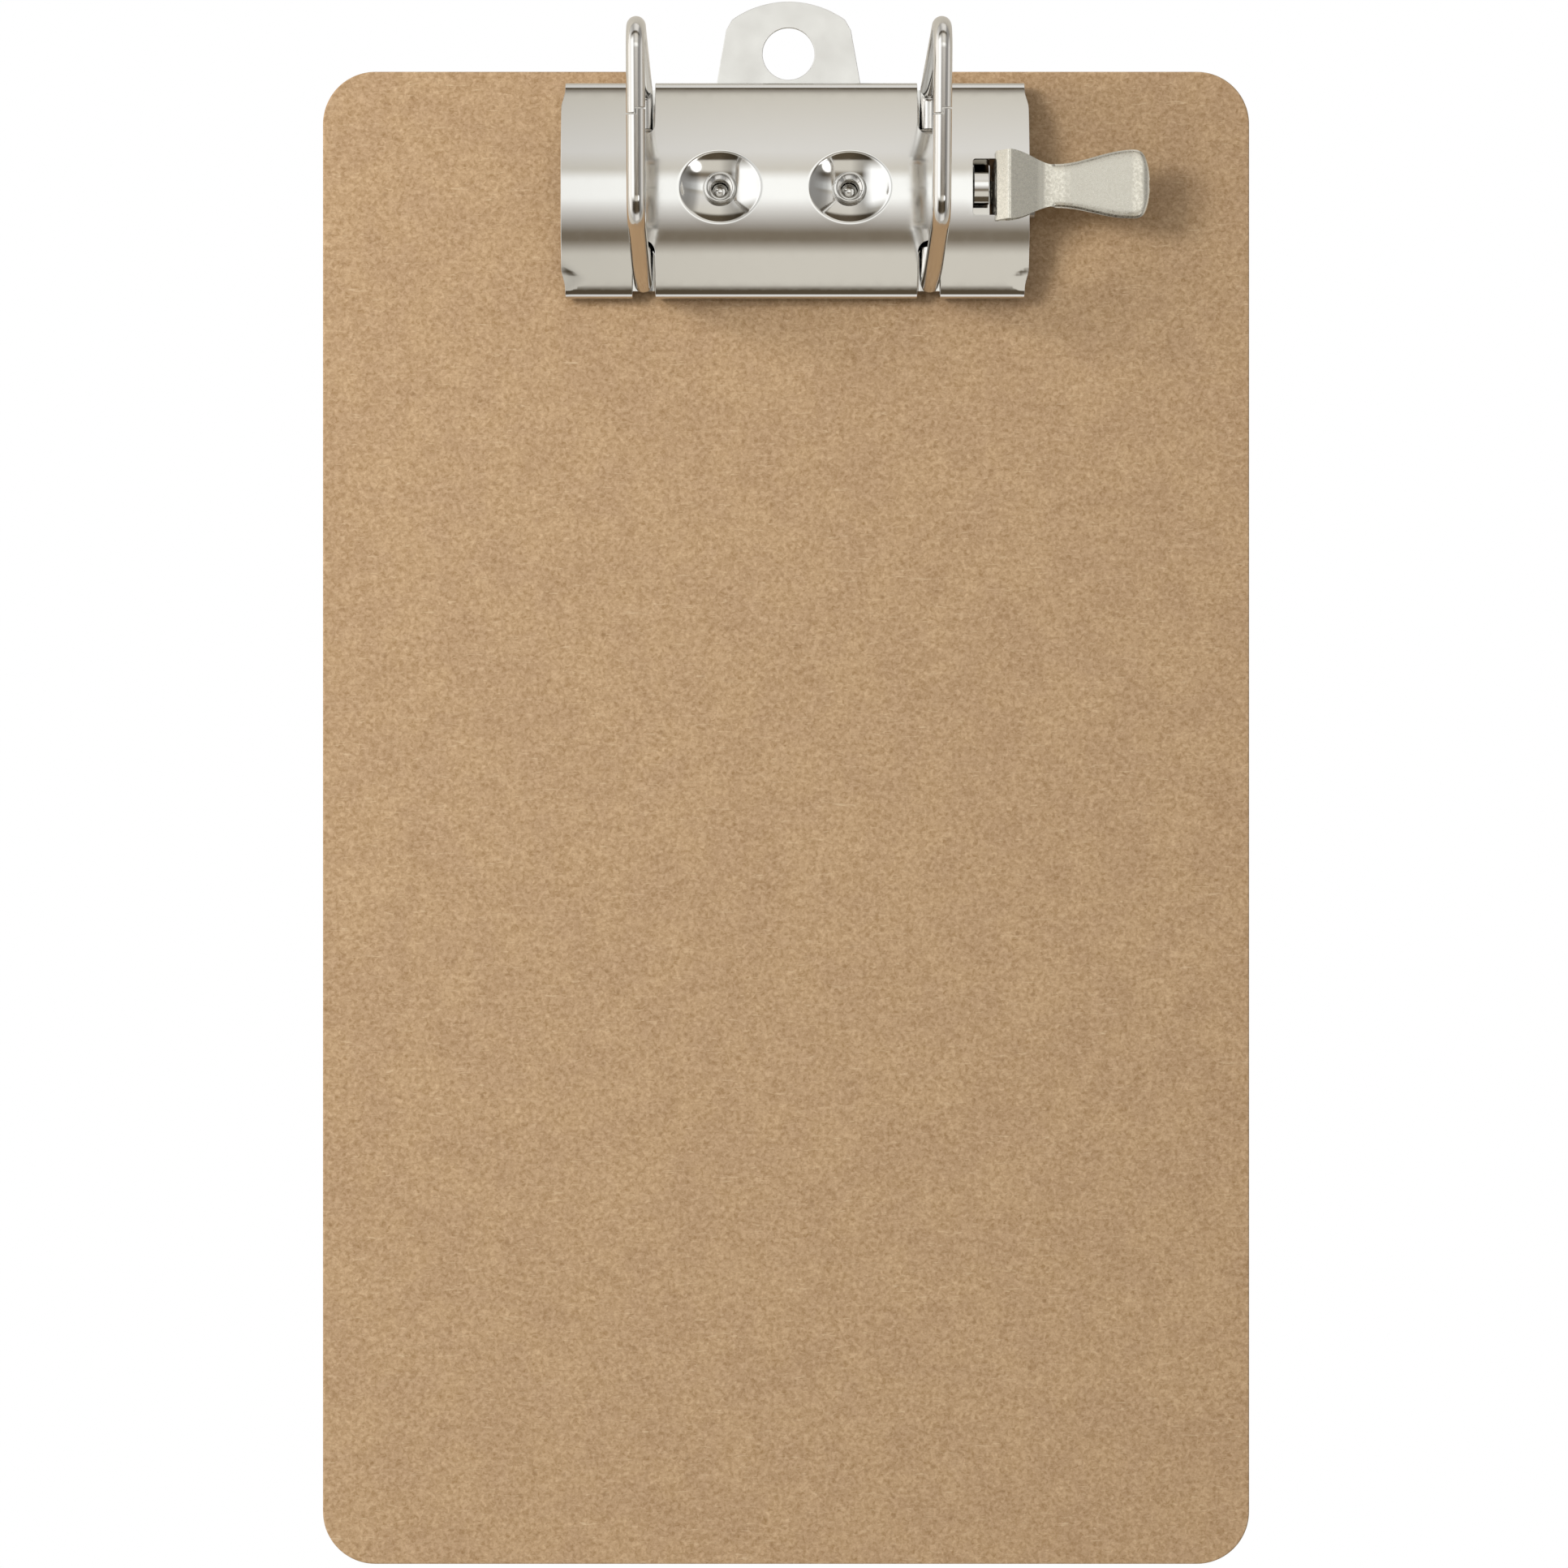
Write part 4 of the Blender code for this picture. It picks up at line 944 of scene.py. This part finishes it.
add(wire_form, "NodeGroupOutput", {0: finished.outputs[0]})

slope = math.atan2(REAR_CORNER[1] - FRONT_CORNER[1], REAR_CORNER[0] - FRONT_CORNER[0])
foot_lift = (RAIL_SHEET / 2 + FIT_GAP + WIRE_RADIUS) / math.cos(RAIL_ANGLE)


def foot_point(side, reach):
    """A place on the foot's line, which lies along the tilted rail."""
    drop = (hinge_y - reach) * math.tan(RAIL_ANGLE)
    return (side * reach, HINGE_Z - drop + foot_lift)


def seam_block(x, end, seam_point):
    """A block laid along the arch's sloping top, which takes away half of the wire's end."""
    reach = SEAM_BLOCK_REACH
    half_gap = SEAM_GAP / 2
    if end == "front":
        low, high = (-reach, SEAM_LEFT - SEAM_RIGHT, -reach), (half_gap, reach, reach)
    else:
        low, high = (-half_gap, -reach, -reach), (reach, SEAM_RIGHT - SEAM_LEFT, reach)
    worked = bmesh.new()
    bmesh.ops.create_cube(worked, size=1.0)
    size = [high[axis] - low[axis] for axis in range(3)]
    middle = [(high[axis] + low[axis]) / 2 for axis in range(3)]
    laid = Matrix.Translation((x, middle_y + seam_point[0], seam_point[1])) @ Matrix.Rotation(slope, 4, "X")
    worked.transform(laid @ Matrix.Translation(middle) @ Matrix.Diagonal((*size, 1.0)))
    mesh = bpy.data.meshes.new("seam_block")
    worked.to_mesh(mesh)
    worked.free()
    return piece_from("seam_block", mesh, drawn_nickel)


for end, seam_y in (("front", SEAM_RIGHT - SEAM_GAP / 2), ("rear", SEAM_LEFT + SEAM_GAP / 2)):
    seam_point = (seam_y, FRONT_CORNER[1] + (seam_y - FRONT_CORNER[0]) * math.tan(slope))
    if end == "front":
        corners = [foot_point(-1, FOOT_INNER), foot_point(-1, LEG_BASE), FRONT_KNEE, FRONT_CORNER, seam_point]
        path = rounded_path(corners, [FOOT_BEND, KNEE_BEND, FRONT_BEND])
    else:
        corners = [foot_point(1, FOOT_INNER), foot_point(1, LEG_BASE), REAR_CORNER, seam_point]
        path = rounded_path(corners, [FOOT_BEND, REAR_BEND])
    for hand, x in (("left", -ARCH_X), ("right", ARCH_X)):
        curve = bpy.data.curves.new("wire_path", "CURVE")
        curve.dimensions = "3D"
        spline = curve.splines.new("POLY")
        spline.points.add(len(path) - 1)
        for point, on_path in zip(spline.points, path):
            point.co = (x, middle_y + on_path.x, on_path.y, 1.0)
        drawn_path = bpy.data.objects.new("wire_path", curve)
        bpy.context.scene.collection.objects.link(drawn_path)
        bending = drawn_path.modifiers.new("wire", "NODES")
        bending.node_group = wire_form
        bending[sockets["Radius"]] = WIRE_RADIUS
        bending[sockets["Sides"]] = WIRE_SIDES
        bending[sockets["Finish"]] = drawn_nickel
        half = piece_from(f"{end}_half_arch_{hand}", evaluated_mesh(drawn_path), drawn_nickel)
        bpy.data.objects.remove(drawn_path)
        cut(half, seam_block(x, end, seam_point))
        half.data.shade_smooth()
        half.data.set_sharp_from_angle(angle=SHARP_ANGLE)
        ease_edges(half, WIRE_EASING, 2)
        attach(half, f"{end}_arches")
        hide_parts(f"{end}_arch_{hand}")

# ---------------------------------------------------------------------------------------------
# Lever: one stamping of 0.9 mm steel, folded up through the cover's window and out to a paddle
# with a turned-down rim. It is barrel finished before plating, so it is satin with fine pits.
# ---------------------------------------------------------------------------------------------
PIN = (53.2 * MM, 6.6 * MM)
KNUCKLE_RADIUS = 2.2 * MM
KNUCKLE_BORE_RADIUS = 1.15 * MM
KNUCKLE_Y = (3.6 * MM, 5.6 * MM)
FLANGE_X = 51.35 * MM
FINGER_X = 40.8 * MM
FINGER_HALF_WIDTH = 2.8 * MM
FLANGE_HALF_WIDTH = 5.8 * MM
ROOT_HALF_WIDTH = 8.4 * MM
WAIST_HALF_WIDTH = 5.0 * MM
WAIST_X = 65.65 * MM
PADDLE_HALF_WIDTH = 8.1 * MM
PADDLE_X = 84.15 * MM
TIP_X = 87.85 * MM
LEVER_FOOT_BEND = 1.5 * MM
FACET_Z = 13.7 * MM
FACET_BEND = 1.2 * MM
CREST = (54.0 * MM, 16.5 * MM)
CREST_BEND = 0.55 * MM
SHOULDER_Z = 12.7 * MM
SADDLE = (65.1 * MM, 13.1 * MM)
SADDLE_BEND = 18.7 * MM
PADDLE_Z = 15.9 * MM
TIP_DROP = 0.7 * MM
TIP_SQUARENESS = 2.6
TIP_LAST_ANGLE = 84.0
TIP_STEPS = 18
EDGE_DROP = 0.45 * MM
EDGE_SHARPNESS = 14
LEVER_STEP = 0.45 * MM
LEVER_COLUMNS = 28
LEVER_EASING = 0.22 * MM


def eased(share):
    """Eases a share from 0 to 1 along half a cosine wave."""
    return (1 - math.cos(math.pi * min(1.0, max(0.0, share)))) / 2


def lever_half_width(x, z):
    """Half the blank's width: finger, flange, root, waist and paddle."""
    if z < PIN[1] - KNUCKLE_RADIUS:
        return FINGER_HALF_WIDTH
    if z < SHOULDER_Z:
        return FLANGE_HALF_WIDTH
    if x < WAIST_X:
        share = (WAIST_X - x) / (WAIST_X - CREST[0])
        return WAIST_HALF_WIDTH + (ROOT_HALF_WIDTH - WAIST_HALF_WIDTH) * eased(share)
    share = (x - WAIST_X) / (PADDLE_X - WAIST_X)
    return WAIST_HALF_WIDTH + (PADDLE_HALF_WIDTH - WAIST_HALF_WIDTH) * eased(share)


finger_z = board_high.z + FIT_GAP + SHEET / 2
path = rounded_path(
    [(FINGER_X, finger_z), (FLANGE_X, finger_z), (FLANGE_X, FACET_Z), CREST, SADDLE, (PADDLE_X, PADDLE_Z)],
    [LEVER_FOOT_BEND, FACET_BEND, CREST_BEND, SADDLE_BEND], math.radians(6),
)
stations = []
for start, end in zip(path, path[1:]):
    steps = max(1, math.ceil((end - start).length / LEVER_STEP))
    for step in range(steps):
        point = start.lerp(end, step / steps)
        stations.append((point.x, point.y, lever_half_width(point.x, point.y)))
for step in range(TIP_STEPS + 1):
    angle = math.radians(TIP_LAST_ANGLE) * step / TIP_STEPS
    past = math.sin(angle) ** (2 / TIP_SQUARENESS)
    narrowing = math.cos(angle) ** (2 / TIP_SQUARENESS)
    stations.append((
        PADDLE_X + (TIP_X - PADDLE_X) * past, PADDLE_Z - TIP_DROP * past**4, PADDLE_HALF_WIDTH * narrowing
    ))

worked = bmesh.new()
lines_across = []
for x, z, half_width in stations:
    line_across = []
    for column in range(LEVER_COLUMNS + 1):
        share = math.sin(math.pi / 2 * (2 * column / LEVER_COLUMNS - 1))
        drop = EDGE_DROP * abs(share) ** EDGE_SHARPNESS if x > SADDLE[0] else 0.0
        line_across.append(worked.verts.new((x, middle_y + half_width * share, z - drop)))
    lines_across.append(line_across)
for line_across, following in zip(lines_across, lines_across[1:]):
    for at in range(LEVER_COLUMNS):
        worked.faces.new((line_across[at], following[at], following[at + 1], line_across[at + 1]))
bmesh.ops.recalc_face_normals(worked, faces=worked.faces)
top_faces = [f for f in worked.faces if f.calc_center_median().x > SADDLE[0]]
if sum(f.normal.z for f in top_faces) < 0:
    bmesh.ops.reverse_faces(worked, faces=worked.faces)
lever_mesh = bpy.data.meshes.new("thumb_lever")
worked.to_mesh(lever_mesh)
worked.free()
lever_mesh.shade_smooth()

satin_nickel, tree = new_material("Barrel-finished satin nickel plate")
place = add(tree, "ShaderNodeTexCoord").outputs["Object"]
# Tumbling leaves shallow pits and bright peaks up to 0.75 mm apart.
pits = add(tree, "ShaderNodeTexNoise", {
    "Vector": place, "Scale": 1 / (0.75 * MM), "Detail": 4.0, "Roughness": 0.75,
})
rough = add(tree, "ShaderNodeMapRange", {
    "Value": pits.outputs["Fac"], "From Min": 0.35, "From Max": 0.7, "To Min": 0.40, "To Max": 0.14,
})
# The waist and root are rubbed smooth, so the grain fades in along the paddle.
along = add(tree, "ShaderNodeSeparateXYZ", {0: place}).outputs["X"]
grained = add(tree, "ShaderNodeMapRange", {
    "Value": along, "From Min": WAIST_X + 2 * MM, "From Max": WAIST_X + 7 * MM, "To Min": 0.05, "To Max": 1.0,
})
grain = add(tree, "ShaderNodeMath", {0: pits.outputs["Fac"], 1: grained.outputs[0]}, operation="MULTIPLY")
bump = add(tree, "ShaderNodeBump", {"Strength": 0.5, "Distance": 0.045 * MM, "Height": grain.outputs[0]})
shader = add(tree, "ShaderNodeBsdfPrincipled", {
    "Base Color": linear("#DCD8CC"), "Metallic": 1.0, "Roughness": rough.outputs[0],
    "Normal": bump.outputs[0],
})
add(tree, "ShaderNodeOutputMaterial", {"Surface": shader.outputs["BSDF"]})
lever = piece_from("thumb_lever", lever_mesh, satin_nickel)
give_wall(lever, SHEET, True)
ease_edges(lever, LEVER_EASING, 3)
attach(lever, "lever_body")
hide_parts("lever")
# Two knuckles turn on the pin, one beside each ear of the bracket.
knuckle_section = [
    (KNUCKLE_RADIUS, KNUCKLE_Y[0]), (KNUCKLE_RADIUS, KNUCKLE_Y[1]),
    (KNUCKLE_BORE_RADIUS, KNUCKLE_Y[1]), (KNUCKLE_BORE_RADIUS, KNUCKLE_Y[0]),
]
for end, turn in (("front", 90), ("rear", -90)):
    knuckle = turned(end + "_knuckle", knuckle_section, satin_nickel, 40)
    laid = Matrix.Translation((PIN[0], middle_y, PIN[1])) @ Matrix.Rotation(math.radians(turn), 4, "X")
    knuckle.data.transform(laid)
    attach(knuckle, "lever_body")

# ---------------------------------------------------------------------------------------------
# Studio: a plain white floor that the board lies on, a soft key light from the left, and a white
# tent with dark seams and a bright panel overhead, which is what the bright nickel mirrors.
# ---------------------------------------------------------------------------------------------
FLOOR_HALF = 3.0
FLOOR_GAP = 0.05 * MM
floor_z = cad_box[0].z - FLOOR_GAP
floor_corners = [(x * FLOOR_HALF, y * FLOOR_HALF, floor_z) for x, y in ((-1, -1), (1, -1), (1, 1), (-1, 1))]
floor_mesh = bpy.data.meshes.new("studio_floor")
floor_mesh.from_pydata(floor_corners, [], [(0, 1, 2, 3)])
white_floor, tree = new_material("White seamless paper")
# Plain white to the lens, as if lit from below, while the nickel sees it in the tent's half shade.
paper = add(tree, "ShaderNodeBsdfDiffuse", {"Color": linear("#C6C2BA")})
lit_paper = add(tree, "ShaderNodeEmission", {"Color": linear("#FFFFFF"), "Strength": 1.0})
seen = add(tree, "ShaderNodeLightPath").outputs["Is Camera Ray"]
shown = add(tree, "ShaderNodeMixShader", {0: seen, 1: paper.outputs[0], 2: lit_paper.outputs[0]})
add(tree, "ShaderNodeOutputMaterial", {"Surface": shown.outputs[0]})
piece_from("studio_floor", floor_mesh, white_floor)

scene = bpy.context.scene
world = bpy.data.worlds.new("studio_tent")
scene.world = world
world.use_nodes = True
tree = world.node_tree
tree.nodes.clear()
direction = add(tree, "ShaderNodeSeparateXYZ", {0: add(tree, "ShaderNodeTexCoord").outputs["Generated"]})
tilt = add(tree, "ShaderNodeMath", {
    0: direction.outputs["Y"], 1: direction.outputs["Z"],
}, operation="ARCTAN2")
degrees = add(tree, "ShaderNodeMath", {0: tilt.outputs[0]}, operation="DEGREES")
tilt_on_ramp = add(tree, "ShaderNodeMapRange", {
    "Value": degrees.outputs[0], "From Min": -90.0, "From Max": 90.0,
})
# The tent from front to rear, by its tilt from straight up in degrees. White cloth hangs at its ends
# and cream cloth covers its top, where a lit panel is let in behind the opening for the lens.
WHITE_CLOTH = (0.95, 0.93, 0.90)
CREAM_CLOTH = (0.82, 0.78, 0.70)
SEAM = (0.11, 0.085, 0.055)
LENS_OPENING = (0.24, 0.20, 0.15)
TOP_PANEL = (1.34, 1.35, 1.33)
TENT = [
    (-90, WHITE_CLOTH), (-70, WHITE_CLOTH), (-64, SEAM), (-28.5, SEAM),
    (-27, CREAM_CLOTH), (-15, CREAM_CLOTH), (-10, LENS_OPENING), (-7, LENS_OPENING),
    (2, WHITE_CLOTH), (6, TOP_PANEL), (13.2, TOP_PANEL), (17.0, CREAM_CLOTH),
    (24, WHITE_CLOTH), (47, CREAM_CLOTH), (50, SEAM), (57, SEAM), (61, WHITE_CLOTH), (90, WHITE_CLOTH),
]
# How strong the light is from left to right, by the lean in degrees: the left side is the brighter
# one, and the tent is in shade on the right.
SIDES = [
    (-90, 1.5), (-60, 1.3), (-50, 0.9), (-20, 0.5), (-9, 0.72), (0, 1.0), (24, 1.0), (31, 0.5),
    (38, 0.36), (58, 0.36), (68, 0.8), (90, 1.0),
]
# A ramp's colours stay under 1, so both ramps are divided by this and their product is raised again.
RAMP_TOP = 2.0
tent = add(tree, "ShaderNodeValToRGB", {"Fac": tilt_on_ramp.outputs[0]}, stops=[
    ((angle + 90) / 180, tuple(level / RAMP_TOP for level in light) + (1,)) for angle, light in TENT
])
lean = add(tree, "ShaderNodeMath", {0: direction.outputs["X"]}, operation="ARCSINE")
lean = add(tree, "ShaderNodeMath", {0: lean.outputs[0]}, operation="DEGREES")
# Its side walls are whole cloth, without the seams.
off_middle = add(tree, "ShaderNodeMath", {0: lean.outputs[0]}, operation="ABSOLUTE")
on_wall = add(tree, "ShaderNodeMapRange", {
    "Value": off_middle.outputs[0], "From Min": 36.0, "From Max": 48.0,
})
wall_cloth = tuple(level / RAMP_TOP for level in WHITE_CLOTH) + (1,)
walled = add(tree, "ShaderNodeMix", {
    0: on_wall.outputs[0], 6: tent.outputs["Color"], 7: wall_cloth,
}, data_type="RGBA")
lean_on_ramp = add(tree, "ShaderNodeMapRange", {
    "Value": lean.outputs[0], "From Min": -90.0, "From Max": 90.0,
})
sides = add(tree, "ShaderNodeValToRGB", {"Fac": lean_on_ramp.outputs[0]}, stops=[
    ((angle + 90) / 180, (level / RAMP_TOP,) * 3 + (1,)) for angle, level in SIDES
])
cloth = add(tree, "ShaderNodeMix", {
    0: 1.0, 6: walled.outputs[2], 7: sides.outputs["Color"],
}, data_type="RGBA", blend_type="MULTIPLY")
cloth = add(tree, "ShaderNodeVectorMath", {
    0: cloth.outputs[2], "Scale": RAMP_TOP * RAMP_TOP,
}, operation="SCALE")

# A large softbox to the left: bright between two leans and two tilts, with soft edges.
BOX_LEAN = (-53.0, -21.0)
BOX_TILT = (-21.0, 38.0)
BOX_SOFT = 6.0
BOX_LIGHT = (1.45, 1.46, 1.46, 1)
in_box = 1.0
for angle, (low, high) in ((lean, BOX_LEAN), (degrees, BOX_TILT)):
    for dark, bright in ((low - BOX_SOFT, low + BOX_SOFT), (high + BOX_SOFT, high - BOX_SOFT)):
        side = add(tree, "ShaderNodeMapRange", {
            "Value": angle.outputs[0], "From Min": dark, "From Max": bright,
        })
        in_box = add(tree, "ShaderNodeMath", {0: in_box, 1: side.outputs[0]}, operation="MULTIPLY").outputs[0]
# A small round lamp to the right, in front.
LAMP_LEAN = math.radians(30)
LAMP_TILT = math.radians(-17)
LAMP_INNER = math.radians(5.5)
LAMP_OUTER = math.radians(7.5)
LAMP_LIGHT = (2.2, 2.2, 2.2, 1)
lamp = Vector((math.sin(LAMP_LEAN), math.sin(LAMP_TILT), 0.0))
lamp.z = math.sqrt(1 - lamp.length_squared)
toward_lamp = add(tree, "ShaderNodeVectorMath", {
    0: add(tree, "ShaderNodeTexCoord").outputs["Generated"], 1: lamp,
}, operation="DOT_PRODUCT")
in_lamp = add(tree, "ShaderNodeMapRange", {
    "Value": toward_lamp.outputs["Value"], "From Min": math.cos(LAMP_OUTER), "From Max": math.cos(LAMP_INNER),
})
with_box = add(tree, "ShaderNodeMix", {0: in_box, 6: cloth.outputs[0], 7: BOX_LIGHT}, data_type="RGBA")
with_lamp = add(tree, "ShaderNodeMix", {
    0: in_lamp.outputs[0], 6: with_box.outputs[2], 7: LAMP_LIGHT,
}, data_type="RGBA")
lit = add(tree, "ShaderNodeBackground", {"Color": with_lamp.outputs[2], "Strength": 1.0})
plain = add(tree, "ShaderNodeBackground", {"Color": (1, 1, 1, 1), "Strength": 1.0})
seen = add(tree, "ShaderNodeLightPath").outputs["Is Camera Ray"]
mixed = add(tree, "ShaderNodeMixShader", {0: seen, 1: lit.outputs[0], 2: plain.outputs[0]})
add(tree, "ShaderNodeOutputWorld", {"Surface": mixed.outputs[0]})

# The key light casts the soft shadows. The nickel doesn't mirror it: the tent's softbox stands for it.
KEY_AIM = Vector((0.0, 0.05, 0.0))
key_light = bpy.data.lights.new("key_softbox", "AREA")
key_light.shape = "DISK"
key_light.size = 0.45
key_light.energy = 11.5
key = bpy.data.objects.new("key_softbox", key_light)
key.location = (-0.85, 0.35, 0.85)
key.rotation_euler = (KEY_AIM - key.location).to_track_quat("-Z", "Y").to_euler()
scene.collection.objects.link(key)
key.visible_glossy = False
scene.view_settings.view_transform = "Standard"

# Camera: straight above the board on a copy stand, with a 74 mm lens.
camera_data = bpy.data.cameras.new("copy_stand_camera")
camera_data.lens = 74.44
camera_data.sensor_width = 36.0
camera_data.shift_x = 0.0217
camera = bpy.data.objects.new("copy_stand_camera", camera_data)
camera.location = (-0.0089, 0.00835, 0.8032)
scene.collection.objects.link(camera)
scene.camera = camera
